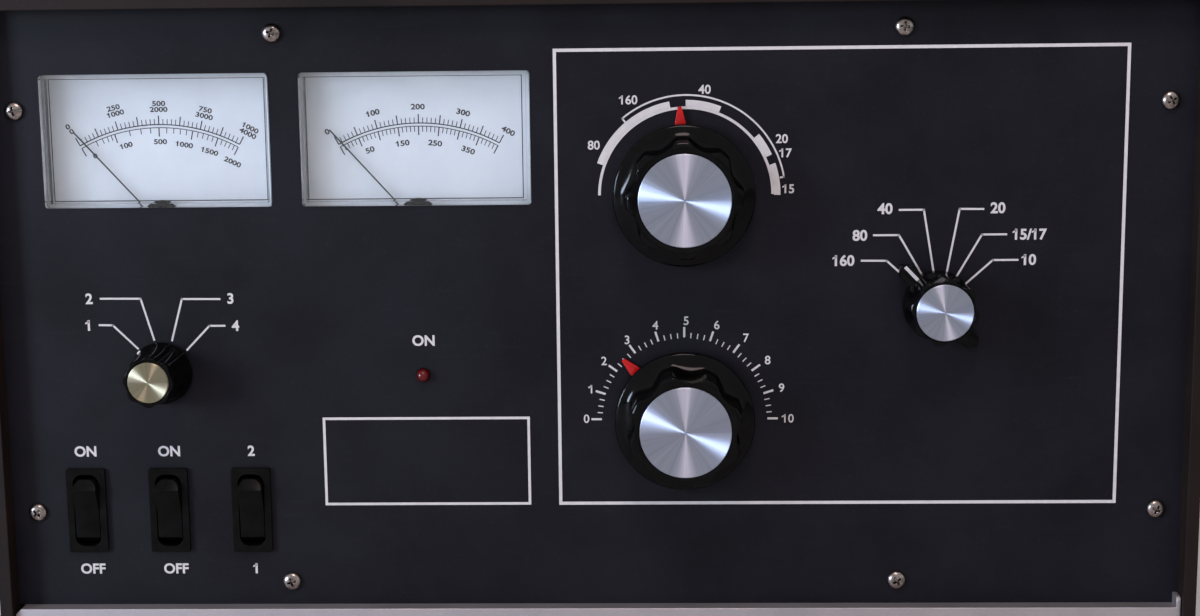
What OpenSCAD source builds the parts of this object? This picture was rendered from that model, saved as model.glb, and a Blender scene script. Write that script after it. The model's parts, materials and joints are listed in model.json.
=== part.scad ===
// HF linear amplifier: a table-top cabinet with two meters, two reduction-driven
// tuning knobs, a band switch, a meter switch, three rockers and a lamp on its front,
// and the tube, tuning parts, blower and power supply inside.
// Front faces -Y, +Z is up, the origin is the middle of the bounding box's underside.

/* [Cabinet] */
// Overall width of the cover
cab_w = 432; // [428:1:460]
// Depth of the cover, front edge to rear edge
cab_d = 436; // [430:1:470]
// Visible height of the front panel
panel_h = 216; // [214:1:230]
// Width of the cover's folded front rim
rim_w = 4.5; // [4:0.1:6]
// How far the rim stands ahead of the front panel
recess = 8; // [6.5:0.5:12]
// Thickness of the cover's sheet
cover_t = 1.4; // [1:0.1:1.6]
// Thickness of the chassis sheet
sheet_t = 1.5; // [1:0.1:2]
// Height of the tray's apron, tray underside to lip
apron_h = 15.5; // [13:0.5:20]
// How far the tray's lip stands ahead of the front panel
lip_d = 6; // [4:0.5:6]
// How far the ear at the tray's right end stands above the lip
ear_h = 4; // [2:0.5:6]
// How far the rear panel sits inside the cover's rear edge
rear_inset = 3; // [2:0.5:5]
// Height of a rubber foot
foot_h = 18; // [14:1:24]
// Radius of a rubber foot at its top
foot_r = 14; // [12:0.5:18]
// Distance of a foot's centre from the cabinet's sides and ends
foot_in = 42; // [30:1:60]

/* [Vents] */
// Length of a vent slot
slot_l = 34; // [20:1:36]
// Width of a vent slot
slot_w = 3.2; // [2:0.2:4]
// Distance between neighbouring vent slots
slot_pitch = 9; // [7:0.5:10]
// Number of slots in a row of a top field
slot_n = 16; // [8:1:18]

/* [Panel] */
// Thickness of the front panel
panel_t = 2.5; // [2:0.1:3]
// Thickness of the steel sub-panel behind it
sub_t = 1.5; // [1:0.1:2]
// Radius of a panel screw's head
screw_head_r = 3.4; // [3:0.1:4]
// Radius of the screws' shanks
screw_r = 1.9; // [1.5:0.1:2]
// Distance of the upper and lower panel screws from the cabinet's sides
screw_mid_in = 105.8; // [102:0.1:111]
// Distance of the upper and lower panel screws from the panel's upper and lower edges
screw_edge_in = 8.7; // [8:0.1:11]
// Distance of the side panel screws from the panel's visible side edge
screw_side_in = 8.9; // [8:0.1:10]
// Distance of the side panel screws from the panel's upper and lower edges
screw_side_edge = 35; // [28:1:48]

/* [Meters] */
// Width of a meter opening
meter_w = 81.4; // [76:0.2:83]
// Height of a meter opening
meter_h = 47.2; // [44:0.2:50]
// Distance of the left meter's middle from the cabinet's left side
meter_in = 63.1; // [60:0.1:64]
// Distance between the middles of the two meters
meter_pitch = 92; // [90:0.1:95]
// Distance of the middle of both meter openings below the panel's top
meter_down = 46.1; // [43:0.1:50]
// Wall of the clear meter cover
lens_wall = 1.3; // [1:0.1:1.6]
// Thickness of the clear cover's front
lens_face = 1.5; // [1:0.1:1.6]
// How far the clear cover stands ahead of the panel
lens_proud = 0.4; // [0.2:0.1:1]
// How far the hidden part of the clear cover reaches past the opening
lens_flange = 3; // [2:0.2:4]
// How far the hidden part of the clear cover reaches below the opening
lens_drop = 22; // [20:0.5:26]
// Depth of the dial's face behind the panel's face
dial_depth = 9.6; // [9.2:0.1:12]
// Thickness of the dial plate
dial_t = 0.8; // [0.5:0.1:1]
// Depth of the meter housing behind the clear cover
case_d = 26; // [20:1:34]
// Distance of the needle's pivot below the opening
pivot_drop = 8.1; // [7:0.1:9]
// Length of the needle from its pivot to its tip
needle_l = 46.8; // [38:0.2:48]
// Resting angle of the needle, left of upright
needle_rest = 42; // [40:0.5:45]

/* [Tuning knobs] */
// Middle of both tuning knobs, from the panel's middle
tune_x = 33.6; // [32:0.1:36]
// Middle of the plate knob above the panel's middle
plate_z = 41.5; // [38:0.1:44]
// Middle of the load knob above the panel's middle
load_z = -39.2; // [-42:0.1:-37]
// Radius of a tuning knob's skirt
skirt_r = 25; // [22:0.5:26]
// Radius of a tuning knob's fluted body at its front
flute_r = 20.3; // [18:0.1:21]
// Height of a tuning knob, back to front
knob_h = 20.4; // [16:0.2:24]
// Radius of the aluminium disc in a tuning knob
insert_r = 16; // [14:0.1:16.8]
// Number of flutes round each knob
flutes = 8; // [6:1:9]
// Gap from the panel's face to the back of a tuning knob
knob_gap = 2.6; // [2.4:0.1:4]
// Turn of the plate knob's flutes at rest
plate_flute_turn = 2; // [0:1:44]
// Turn of the load knob's flutes at rest
load_flute_turn = 18; // [0:1:44]
// Radius of the pointer's tip from the knob's axis
pointer_r = 31; // [28:0.2:32]
// Angle of the plate pointer at rest, left of upright
plate_rest = 2.5; // [-88:0.5:88]
// Angle of the load pointer at rest, left of upright
load_rest = 45; // [-88:0.5:88]

/* [Switch knobs] */
// Distance of the band knob from the cabinet's right side
band_in = 93; // [88:0.1:98]
// Middle of the band knob above the panel's middle
band_z = 1.8; // [-4:0.1:6]
// Radius of the band knob's aluminium disc
band_insert_r = 9.8; // [8:0.1:10.2]
// Radius of the band knob's fluted body
band_r = 12; // [11.5:0.1:14]
// Half length of the band knob's pointer bar
bar_l = 20; // [17:0.5:24]
// Width of the band knob's pointer bar
bar_w = 5.6; // [4:0.2:8]
// Height of the band knob, back to front
band_h = 18.5; // [15:0.5:22]
// Angle of the band pointer at rest, left of upright
band_rest = 43; // [0:1:60]
// Turn of the band knob's flutes from its pointer bar
band_flute_turn = 7; // [0:1:22]
// Distance of the meter-switch knob from the cabinet's left side
multi_in = 61.5; // [58:0.1:66]
// Middle of the meter-switch knob above the panel's middle
multi_z = -21.3; // [-24:0.1:-18]
// Radius of the meter-switch knob at its back
multi_base_r = 11.3; // [10:0.1:13]
// Radius of the meter-switch knob at its front
multi_r = 9.2; // [8.6:0.1:9.8]
// Radius of the meter-switch knob's disc
multi_insert_r = 7.2; // [6:0.1:7.6]
// Height of the meter-switch knob, back to front
multi_h = 18; // [14:0.5:20]
// Angle of the meter-switch knob's dot at rest, left of upright
multi_rest = 41; // [0:1:60]

/* [Rockers and lamp] */
// Distance of the first rocker switch from the cabinet's left side
rocker_in = 31.8; // [28:0.1:36]
// Distance between neighbouring rocker switches
rocker_pitch = 30.2; // [26:0.1:34]
// Distance of the rockers' middle above the panel's lower edge
rocker_up = 35.8; // [32:0.1:40]
// Width of a rocker switch's bezel
bezel_w = 14.2; // [14:0.1:16]
// Height of a rocker switch's bezel
bezel_h = 31.2; // [31:0.1:34]
// How far the bezel stands ahead of the panel
bezel_t = 1.4; // [1:0.1:2]
// Width of a rocker
rocker_w = 8.8; // [8:0.1:9.2]
// Half length of a rocker
rocker_l = 12.4; // [11.5:0.1:12.6]
// Tilt of a rocker each way from level
rocker_tilt = 11; // [8:0.5:12]
// Distance of the lamp from the cabinet's left side
lamp_in = 155.9; // [152:0.1:160]
// Middle of the lamp above the panel's middle
lamp_z = -22.7; // [-26:0.1:-18]
// Radius of the lamp
lamp_r = 2.4; // [1.3:0.1:2.5]

/* [Shafts and drives] */
// Radius of the knob shafts
shaft_r = 3.175; // [3:0.005:3.5]
// Radial running clearance of shafts in their bores
run_fit = 0.05; // [0.02:0.01:0.1]
// Radius of the slow sleeve of a reduction drive
sleeve_r = 6; // [5.5:0.1:6.5]
// Radius of a reduction drive's housing
drive_r = 14; // [12:0.5:16]
// Length of a reduction drive's housing
drive_l = 20; // [16:1:22]

/* [Tuning parts] */
// Half width of a variable capacitor's frame
cap_half = 36; // [34:0.5:37]
// Thickness of a capacitor's end plate
cap_plate = 3; // [2:0.5:4]
// Radius of the rotor vanes
vane_r = 27; // [24:0.5:28]
// Thickness of a vane
vane_t = 1; // [0.8:0.1:1.5]
// Distance between neighbouring rotor vanes
vane_pitch = 9; // [7:0.5:9]
// Number of rotor vanes
vane_n = 9; // [6:1:9]
// Radius of the tank coil to the tube's middle
coil_r = 28; // [24:0.5:30]
// Radius of the coil's copper tube
coil_tube_r = 1.6; // [1.2:0.1:2]
// Number of whole turns of the tank coil
coil_turns = 9; // [6:1:10]
// Radius of the band switch's wafers
wafer_r = 28; // [26:0.5:30]
// Distance between the band switch's wafers
wafer_pitch = 28; // [22:1:30]

// Radius of the radio-frequency choke's former
choke_r = 8; // [6:0.5:10]
// Height of the radio-frequency choke
choke_h = 120; // [100:1:130]
// Distance of the choke from the tube's axis
choke_out = 75; // [68:1:78]

/* [Tube and blower] */
// Distance of the tube's middle from the cabinet's right side
tube_in = 106; // [101:1:111]
// Gap before the tank coil; this and the next three gaps share out the free depth
coil_front_gap = 6.4; // [4:0.2:10]
// Gap between the tank coil and the chimney
coil_gap_y = 11.4; // [8:0.2:16]
// Gap between the air box and the round of the blower's housing
blower_gap = 6; // [4:0.5:10]
// Gap between the blower's housing and the rear panel
blower_rear_gap = 25.5; // [18:0.5:34]
// Radius of the tube's anode
anode_r = 40; // [36:0.5:42]
// Height of the tube's anode
anode_h = 46; // [36:1:56]
// Inner radius of the chimney
chimney_r = 44; // [43:0.5:46]
// Thickness of the chimney's wall
chimney_wall = 2; // [1.5:0.1:2.5]
// Height of the chimney
chimney_h = 112; // [100:1:130]
// Height of the air box under the tube
airbox_h = 50; // [46:1:56]
// Half width of the air box
airbox_half = 48; // [47:0.5:52]
// Outer radius of the blower's housing
blower_r = 46; // [42:0.5:48]
// Width of the blower's housing
blower_w = 44; // [40:1:50]
// Radius of the blower's wheel
wheel_r = 34; // [30:0.5:36]
// Number of blades on the wheel
blade_n = 24; // [16:1:28]
// Radius of the blower's motor
motor_r = 28; // [24:0.5:32]
// Length of the blower's motor
motor_l = 36; // [30:1:38]

/* [Power supply] */
// Distance of the transformer's middle from the cabinet's left side
trans_in = 101; // [98:1:108]
// Gap between the transformer's windings and the power board
trans_gap = 30; // [24:1:34]
// Distance of the power board from the rear panel
board_in = 45.5; // [42:0.5:50]
// Width of the transformer's core
core_w = 150; // [140:1:156]
// Thickness of the transformer's core stack
core_d = 80; // [70:1:84]
// Height of the transformer's core
core_h = 125; // [110:1:140]
// Width of the core's middle leg
leg_w = 48; // [40:1:50]
// How far the windings stand out of the core, front and back
winding_out = 30; // [22:1:34]
// Radius of a filter capacitor
can_r = 16.5; // [14:0.5:18]
// Height of a filter capacitor
can_h = 80; // [60:1:100]
// Distance between neighbouring filter capacitors
can_pitch = 40; // [38:0.5:41]
// Distance of the filter capacitors' middles from the power board's front and rear edges
can_edge = 24; // [20:0.5:26]
// Length of the control board, front to back
ctrl_l = 80; // [70:1:86]
// Height of the control board
ctrl_h = 80; // [70:1:86]
// Distance of the control board behind the panel's face
ctrl_depth = 60; // [56:1:66]
// Height of the control board's lower edge above the table
ctrl_low = 90; // [84:1:96]

/* [Rear fittings] */
// Width of the antenna relay
relay_w = 44; // [36:1:48]
// Depth of the antenna relay
relay_d = 32; // [26:1:36]
// Height of the antenna relay
relay_h = 32; // [26:1:36]
// Gap between the RF sockets' axes and the antenna relay below them
relay_drop = 14; // [13:0.5:18]
// Length of a fuse holder inside the rear panel
fuse_l = 34; // [28:1:38]
// Distance between the two fuse holders
fuse_pitch = 34; // [28:1:38]
// Radius of an RF socket's barrel
rf_r = 7.94; // [7.5:0.01:8.2]
// Length of an RF socket's barrel outside its flange
rf_l = 14; // [12:0.5:16]
// Distance between the two RF sockets
rf_pitch = 44; // [36:1:50]
// Radius of the cord gland's bore
gland_bore_r = 6.5; // [5:0.1:7]
// Radius of the ground stud
stud_r = 3; // [2.5:0.1:3.5]
// Length of the ground stud outside the rear panel
stud_l = 17.5; // [15:0.5:17.5]

/* [Hidden] */
$fn = 48;

// Clearances
seat_gap = 0.3;   // between pieces that sit side by side
slip_gap = 0.2;   // between a piece and the hole that it passes through
cut = 1;          // how far a cutting shape runs past the face that it cuts

// Cabinet
insert_t = 1;
insert_seat = 0.6;
knob_front = knob_gap + knob_h - insert_seat + insert_t;
rear_out = stud_l;
box_depth = knob_front + cab_d - recess - rear_inset + rear_out;
panel_y = -box_depth / 2 + knob_front;
front_y = panel_y - recess;
rear_y = front_y + cab_d;
rear_face = rear_y - rear_inset;
rear_in = rear_face - sheet_t;
panel_w = cab_w - 2 * rim_w;
tray_top = foot_h + apron_h;
floor_z = foot_h + sheet_t;
panel_cz = tray_top + panel_h / 2;
panel_top = tray_top + panel_h;
top_z = panel_top + rim_w;
inner_half = cab_w / 2 - cover_t;
inner_top = top_z - cover_t;
plate_half = inner_half - seat_gap;
mount_t = panel_t + sub_t;
side_holes_y = [panel_y + 40, (panel_y + rear_in) / 2, rear_in - 40];
side_hole_z = foot_h + apron_h * 0.6;
flange_h = apron_h + ear_h;
rear_holes_x = [-cab_w / 2 + 46, -80, 40, cab_w / 2 - 46];
partition_x = tune_x - cap_half;
foot_x = cab_w / 2 - foot_in;
foot_y = [panel_y + foot_in, rear_in - foot_in];

// Places on the panel, from its middle
screw_mid_x = cab_w / 2 - screw_mid_in;
screw_mid_z = panel_h / 2 - screw_edge_in;
screw_side_z = panel_h / 2 - screw_side_edge;
meter_left_x = meter_in - cab_w / 2;
meter_right_x = meter_left_x + meter_pitch;
meter_z = panel_h / 2 - meter_down;
band_x = cab_w / 2 - band_in;
multi_x = multi_in - cab_w / 2;
rocker_x = rocker_in - cab_w / 2;
rocker_z = rocker_up - panel_h / 2;
lamp_x = lamp_in - cab_w / 2;

// Meters, in the panel's own axes
lens_back = dial_depth + dial_t + 1.6;
lens_half = meter_w / 2 + lens_flange;
lens_bottom = -meter_h / 2 - lens_drop;
lens_top = meter_h / 2 + lens_flange;
pivot_y = -meter_h / 2 - pivot_drop;
ring_half = lens_half - lens_wall - slip_gap;
ring_bottom = lens_bottom + lens_wall + slip_gap;
ring_top = lens_top - lens_wall - slip_gap;
case_wall = 1.6;
spindle_r = 0.6;
needle_depth = dial_depth - 2;
pivot_cover_r = 7.4;
pivot_cover_up = 3;

// Tuning knobs and drives
drive_back = mount_t + drive_l;
sleeve_back = drive_back + 2;
cap_front = sleeve_back + 4;
cap_first = cap_front + cap_plate + 6;
cap_back = cap_first + vane_n * vane_pitch + 6;
cap_end = cap_back + cap_plate;
pointer_t = 1;
pointer_gap = 0.8;

// Switch knobs
switch_gap = 1;
band_seat = switch_gap + band_h - insert_seat;
multi_seat = switch_gap + multi_h - insert_seat;
rocker_pivot = -2;
pin_r = 1.2;

// Tank coil
coil_start_x = tune_x + 20;
coil_half = coil_r + coil_tube_r;
chimney_out = chimney_r + chimney_wall;
free_depth = rear_in - panel_y - cap_end - 2 * coil_half - chimney_out - airbox_half
    - 2 * blower_r;
gap_share = free_depth / (coil_front_gap + coil_gap_y + blower_gap + blower_rear_gap);
coil_depth = cap_end + gap_share * coil_front_gap + coil_half;
wafer_first = mount_t + 22;
wafer_t = 3;
wafer_last = wafer_first + 2 * wafer_pitch + wafer_t;
coil_z = panel_cz + band_z - 18 + coil_r;
coil_rings = 24;
coil_sides = 6;

// Tube and blower
tube_x = cab_w / 2 - tube_in;
tube_depth = coil_depth + coil_half + gap_share * coil_gap_y + chimney_out;
airbox_top = floor_z + airbox_h;
airbox_front = tube_depth - airbox_half;
airbox_back = tube_depth + airbox_half;
socket_h = 8;
socket_in = 22.3;
blower_x = tube_x - 10;
blower_depth = airbox_back + gap_share * blower_gap + blower_r;
blower_z = floor_z + blower_r;
blower_out_h = 38;
blower_wall = 1.5;

// Power supply
trans_x = trans_in - cab_w / 2;
board_t = 1.6;
board_post = 6;
yoke = leg_w / 2;
window_w = core_w / 2 - leg_w;
board_l = can_pitch + 2 * can_edge;
board_depth = rear_in - panel_y - board_in - board_l;
trans_depth = board_depth - trans_gap - winding_out - core_d;
board_leg_r = 3.5;
cans_across = 4;

// Rear fittings
rf_x = cab_w / 2 - 66;
rf_z = 190;
jack_x = 60;
fuse_x = 96 - cab_w / 2;
gland_x = 41 - cab_w / 2;
gland_z = 70;
post_x = 20;
post_z = 60;
jack_r = 4;
phono_pin_r = 1.6;
rf_pin_r = 2;
fuse_r = 6.2;
gland_r = 9;

// --- Helpers -------------------------------------------------------------------

// A box from its low to its high corner
module slab(x0, x1, y0, y1, z0, z1) {
    translate([x0, y0, z0]) cube([x1 - x0, y1 - y0, z1 - z0]);
}

// The panel's own axes: x right, y up, z out of the panel towards the viewer
module on_panel(x = 0, z = 0) {
    translate([x, panel_y, panel_cz + z]) rotate([90, 0, 0]) children();
}

// The rear panel's outer face: z points backwards, away from it
module on_rear(x, z) {
    translate([x, rear_face, z]) rotate([-90, 0, 0]) children();
}

// A cylinder between two heights
module rod(r, z0, z1) {
    translate([0, 0, z0]) cylinder(r = r, h = z1 - z0);
}

// A flat rectangle with round corners, about its middle
module round_rect(w, h, r) {
    square([w - 2 * r, h], center = true);
    square([w, h - 2 * r], center = true);
    for (sx = [-1, 1], sy = [-1, 1])
        translate([sx * (w / 2 - r), sy * (h / 2 - r)]) circle(r = r, $fn = 24);
}

// A flat slot with round ends, along x
module slot(l, w) {
    square([l - w, w], center = true);
    for (s = [-1, 1]) translate([s * (l - w) / 2, 0]) circle(d = w, $fn = 24);
}

// A pan-head screw with a cross recess, pointing out along z, seated at z = 0
module pan_screw(head_r, r, l) {
    head_h = head_r * 0.62;
    ball = (head_r * head_r + head_h * head_h) / (2 * head_h);
    difference() {
        union() {
            intersection() {
                translate([0, 0, head_h - ball]) sphere(r = ball);
                rod(head_r, 0, head_h);
            }
            rod(r, -l, 0);
        }
        for (a = [0, 90])
            rotate(a) translate([-head_r / 2, -head_r / 8, head_h * 0.45])
                cube([head_r, head_r / 4, head_h]);
    }
}

// --- Cabinet -------------------------------------------------------------------

module top_vents() {
    for (sx = [-1, 1], j = [0:2], i = [0:slot_n - 1])
        translate([sx * cab_w / 4 + (i - (slot_n - 1) / 2) * slot_pitch,
                   rear_y - 70 - j * 46, top_z - cover_t - cut])
            rotate(90) linear_extrude(cover_t + 2 * cut) slot(slot_l, slot_w);
}

module side_vents() {
    for (j = [0:1], i = [0:9])
        translate([-cab_w / 2 - cut, rear_y - 60 - i * slot_pitch * 1.4,
                   foot_h + 85 + j * 60])
            rotate([90, 0, 90]) rotate(90)
                linear_extrude(cab_w + 2 * cut) slot(slot_l, slot_w);
}

module cabinet_cover() {
    ring_half_w = panel_w / 2;
    color("#1d1a1b") difference() {
        union() {
            difference() {
                slab(-cab_w / 2, cab_w / 2, front_y, rear_y, foot_h, top_z);
                slab(-inner_half, inner_half, front_y - cut, rear_y + cut,
                     foot_h - cut, inner_top);
            }
            difference() {
                union() {
                    slab(-inner_half, inner_half, front_y, front_y + cover_t,
                         foot_h, inner_top);
                    slab(-ring_half_w - cover_t, ring_half_w + cover_t, front_y, panel_y,
                         foot_h, panel_top + cover_t);
                }
                slab(-ring_half_w, ring_half_w, front_y - cut, panel_y + cut,
                     foot_h - cut, panel_top);
            }
        }
        top_vents();
        side_vents();
        for (y = side_holes_y)
            translate([-cab_w / 2 - cut, y, side_hole_z]) rotate([0, 90, 0])
                rod(screw_r + slip_gap, 0, cab_w + 2 * cut);
    }
}

module case_screws() {
    shank = cover_t + sheet_t + 4;
    color("#3a3a3c") {
        for (y = side_holes_y) {
            translate([cab_w / 2, y, side_hole_z]) rotate([0, 90, 0])
                pan_screw(screw_head_r, screw_r, shank);
            translate([-cab_w / 2, y, side_hole_z]) rotate([0, -90, 0])
                pan_screw(screw_head_r, screw_r, shank);
        }
        for (x = rear_holes_x)
            on_rear(x, side_hole_z) pan_screw(screw_head_r, screw_r, 2 * sheet_t + 3);
        for (sx = [-1, 1], y = foot_y)
            translate([sx * foot_x, y, foot_h * 0.5]) rotate([180, 0, 0])
                pan_screw(screw_head_r, screw_r, foot_h * 0.5 + sheet_t + 3);
    }
}

module chassis_tray() {
    half = panel_w / 2 - seat_gap;
    lip_y = panel_y - lip_d;
    corner = 2;
    color("#b9b7b2") difference() {
        union() {
            slab(-plate_half, plate_half, panel_y, rear_in, foot_h, floor_z);
            for (s = [-1, 1])
                slab(min(s * plate_half, s * (plate_half - sheet_t)),
                     max(s * plate_half, s * (plate_half - sheet_t)),
                     panel_y + mount_t + seat_gap, rear_in, foot_h, foot_h + flange_h);
            slab(-plate_half, plate_half, rear_in - sheet_t, rear_in, foot_h, tray_top);
            slab(-half, half, lip_y, panel_y + cut, foot_h, floor_z);
            translate([0, lip_y + sheet_t, foot_h]) rotate([90, 0, 0])
                linear_extrude(sheet_t) difference() {
                    translate([-half, 0]) square([2 * half, apron_h]);
                    translate([-half, apron_h]) rotate(45)
                        square(corner * sqrt(2), center = true);
                }
            slab(-half + corner, half, lip_y, panel_y + 12, tray_top - sheet_t, tray_top);
            translate([half - sheet_t, panel_y - slip_gap, tray_top - cut])
                rotate([90, 0, 90]) linear_extrude(sheet_t)
                    translate([-lip_d + slip_gap, 0]) tray_ear();
        }
        for (y = side_holes_y)
            translate([-plate_half - cut, y, side_hole_z]) rotate([0, 90, 0])
                rod(screw_r + slip_gap, 0, 2 * plate_half + 2 * cut);
        for (x = rear_holes_x)
            translate([x, rear_in + cut, side_hole_z]) rotate([90, 0, 0])
                rod(screw_r + slip_gap, 0, sheet_t + 2 * cut);
        for (sx = [-1, 1], y = foot_y)
            translate([sx * foot_x, y, 0])
                rod(screw_r + slip_gap, foot_h - cut, floor_z + cut);
    }
}

// Side view of the ear that stands up at the lip's right end
module tray_ear() {
    r = ear_h / 2;
    square([lip_d - slip_gap, cut + ear_h - r]);
    translate([r, 0]) square([lip_d - slip_gap - r, cut + ear_h]);
    translate([r, cut + ear_h - r]) circle(r = r, $fn = 24);
}

module rubber_feet() {
    color("#161616")
        for (sx = [-1, 1], y = foot_y)
            translate([sx * foot_x, y, 0]) difference() {
                rotate_extrude() polygon([
                    [0, 0], [foot_r - 2, 0], [foot_r, foot_h - 2], [foot_r, foot_h], [0, foot_h]
                ]);
                rod(screw_head_r + 1.5, -cut, foot_h * 0.5);
                rod(screw_r + slip_gap, 0, foot_h + cut);
            }
}

// Holes that the front panel and the sub-panel share, in the panel's axes
module panel_cuts() {
    for (x = [meter_left_x, meter_right_x])
        translate([x, meter_z]) round_rect(meter_w, meter_h, 1.2);
    for (z = [plate_z, load_z])
        translate([tune_x, z]) circle(r = sleeve_r + slip_gap);
    translate([band_x, band_z]) circle(r = shaft_r + 1.5 + slip_gap);
    translate([multi_x, multi_z]) circle(r = shaft_r + 1.5 + slip_gap);
    for (i = [0:2])
        translate([rocker_x + i * rocker_pitch, rocker_z])
            square([bezel_w - 2 + 2 * slip_gap, bezel_h - 2 + 2 * slip_gap], center = true);
    translate([lamp_x, lamp_z]) circle(r = lamp_r + slip_gap);
    for (p = panel_screw_places()) translate(p) circle(r = screw_r + slip_gap);
}

function panel_screw_places() = concat(
    [for (sx = [-1, 1], sz = [-1, 1]) [sx * screw_mid_x, sz * screw_mid_z]],
    [for (sx = [-1, 1], sz = [-1, 1])
        [sx * (panel_w / 2 - screw_side_in), sz * screw_side_z]]
);

module front_panel() {
    full_h = inner_top - seat_gap - tray_top;
    color("#24242b") on_panel() translate([0, 0, -panel_t]) linear_extrude(panel_t)
        difference() {
            translate([-plate_half, -panel_h / 2]) square([2 * plate_half, full_h]);
            panel_cuts();
        }
}

module panel_screws() {
    color("#9b978f") on_panel()
        for (p = panel_screw_places())
            translate(p) pan_screw(screw_head_r, screw_r, mount_t + 3);
}

module sub_panel() {
    full_h = inner_top - seat_gap - tray_top;
    back_y = panel_y + mount_t;
    color("#8f8f8c") {
        on_panel() translate([0, 0, -mount_t]) linear_extrude(sub_t) difference() {
            translate([-plate_half, -panel_h / 2]) square([2 * plate_half, full_h]);
            panel_cuts();
        }
        slab(-plate_half, plate_half, back_y - sub_t, back_y + 12,
             inner_top - seat_gap - sub_t, inner_top - seat_gap);
    }
}

module rear_panel() {
    color("#1d1a1b") difference() {
        slab(-plate_half, plate_half, rear_in, rear_face, foot_h, inner_top - seat_gap);
        on_rear(0, 0) translate([0, 0, -sheet_t - cut]) {
            for (x = rear_holes_x)
                translate([x, -side_hole_z]) rod(screw_r + slip_gap, 0, sheet_t + 2 * cut);
            for (s = [-1, 1])
                translate([rf_x + s * rf_pitch / 2, -rf_z])
                    rod(rf_r + slip_gap, 0, sheet_t + 2 * cut);
            for (i = [0:2])
                translate([jack_x - 24 * i, -rf_z])
                    rod(jack_r + slip_gap, 0, sheet_t + 2 * cut);
            for (i = [0:1])
                translate([fuse_x + fuse_pitch * i, -gland_z])
                    rod(fuse_r + slip_gap, 0, sheet_t + 2 * cut);
            translate([post_x, -post_z]) rod(stud_r + slip_gap, 0, sheet_t + 2 * cut);
            translate([gland_x, -gland_z]) rod(gland_r + slip_gap, 0, sheet_t + 2 * cut);
        }
        for (i = [0:11], j = [0:1])
            translate([-180 + i * slot_pitch, rear_in - cut, 150 + j * 44])
                rotate([90, 0, 180]) rotate(90)
                    linear_extrude(sheet_t + 2 * cut) slot(slot_l, slot_w);
        for (i = [0:7])
            translate([blower_x - 10 + i * slot_pitch, rear_in - cut, blower_z])
                rotate([90, 0, 180]) rotate(90)
                    linear_extrude(sheet_t + 2 * cut) slot(slot_l, slot_w);
    }
}

module rf_partition() {
    color("#c3c4c4") {
        slab(partition_x - sheet_t, partition_x, panel_y + mount_t + 12 + seat_gap,
             rear_in - sheet_t, floor_z, inner_top - 2);
        slab(partition_x - 14, partition_x, panel_y + mount_t + 12 + seat_gap,
             rear_in - sheet_t, floor_z, floor_z + sheet_t);
    }
}

// --- Meters --------------------------------------------------------------------

module meter_window() {
    boss_w = meter_w - 2 * slip_gap;
    boss_h = meter_h - 2 * slip_gap;
    box_h = lens_top - lens_bottom;
    difference() {
        union() {
            translate([0, 0, -mount_t]) linear_extrude(mount_t + lens_proud)
                round_rect(boss_w, boss_h, 1.2);
            translate([-lens_half, lens_bottom, -lens_back])
                cube([2 * lens_half, box_h, lens_back - mount_t]);
        }
        translate([0, 0, -mount_t - lens_face - cut])
            linear_extrude(mount_t + lens_proud + cut)
                square([boss_w - 2 * lens_wall, boss_h - 2 * lens_wall], center = true);
        translate([-lens_half + lens_wall, lens_bottom + lens_wall, -lens_back - cut])
            cube([2 * (lens_half - lens_wall), box_h - 2 * lens_wall,
                  lens_back + cut - mount_t - lens_face]);
    }
}

module meter_windows() {
    color("#dfe6ea", 0.35)
        for (x = [meter_left_x, meter_right_x]) on_panel(x, meter_z) meter_window();
}

module meter_case() {
    box_h = lens_top - lens_bottom;
    ring_h = ring_top - ring_bottom;
    ring_front = -dial_depth - dial_t;
    inner_back = -lens_back - case_d + case_wall;
    cover_z = -needle_depth + 1;
    difference() {
        union() {
            translate([-lens_half, lens_bottom, -lens_back - case_d])
                cube([2 * lens_half, box_h, case_d]);
            translate([-ring_half, ring_bottom, -lens_back - cut])
                cube([2 * ring_half, ring_h, lens_back + cut + ring_front]);
        }
        translate([-ring_half + case_wall, ring_bottom + case_wall, inner_back])
            cube([2 * (ring_half - case_wall), ring_h - 2 * case_wall,
                  ring_front - inner_back + cut]);
    }
    translate([0, pivot_y, 0]) difference() {
        rod(3, inner_back - cut / 2, ring_front - 0.6);
        rod(spindle_r + run_fit, ring_front - 9, ring_front);
    }
    translate([-4, ring_bottom, ring_front - cut])
        cube([8, pivot_y - 7.5 - ring_bottom, cover_z - ring_front + cut]);
    translate([0, pivot_y, cover_z]) linear_extrude(0.6) {
        translate([0, pivot_cover_up]) circle(r = pivot_cover_r);
        translate([-pivot_cover_r, -9]) square([2 * pivot_cover_r, 9 + pivot_cover_up]);
    }
}

module meter_cases() {
    color("#131315")
        for (x = [meter_left_x, meter_right_x]) on_panel(x, meter_z) meter_case();
}

module meter_dials() {
    low = pivot_y - 6.5;
    color("#eeeeec")
        for (x = [meter_left_x, meter_right_x])
            on_panel(x, meter_z) translate([0, 0, -dial_depth - dial_t])
                linear_extrude(dial_t) difference() {
                    translate([-ring_half, low]) square([2 * ring_half, ring_top - low]);
                    translate([0, pivot_y]) circle(r = 2.5);
                }
}

module meter_needle(x) {
    blade_w = 0.5;
    color("#101010") on_panel(x, meter_z) translate([0, pivot_y, -needle_depth])
        rotate(needle_rest) {
            rod(2.2, -0.6, 0.6);
            rod(spindle_r, -needle_depth, 0);
            translate([-blade_w / 2, -5, -0.15]) cube([blade_w, needle_l + 5, 0.3]);
            translate([0, -5, 0]) rod(1.2, -0.5, 0.5);
        }
}

module meter_needle_left() {
    meter_needle(meter_left_x);
}

module meter_needle_right() {
    meter_needle(meter_right_x);
}

// --- Tuning knobs and their drives -----------------------------------------------

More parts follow.
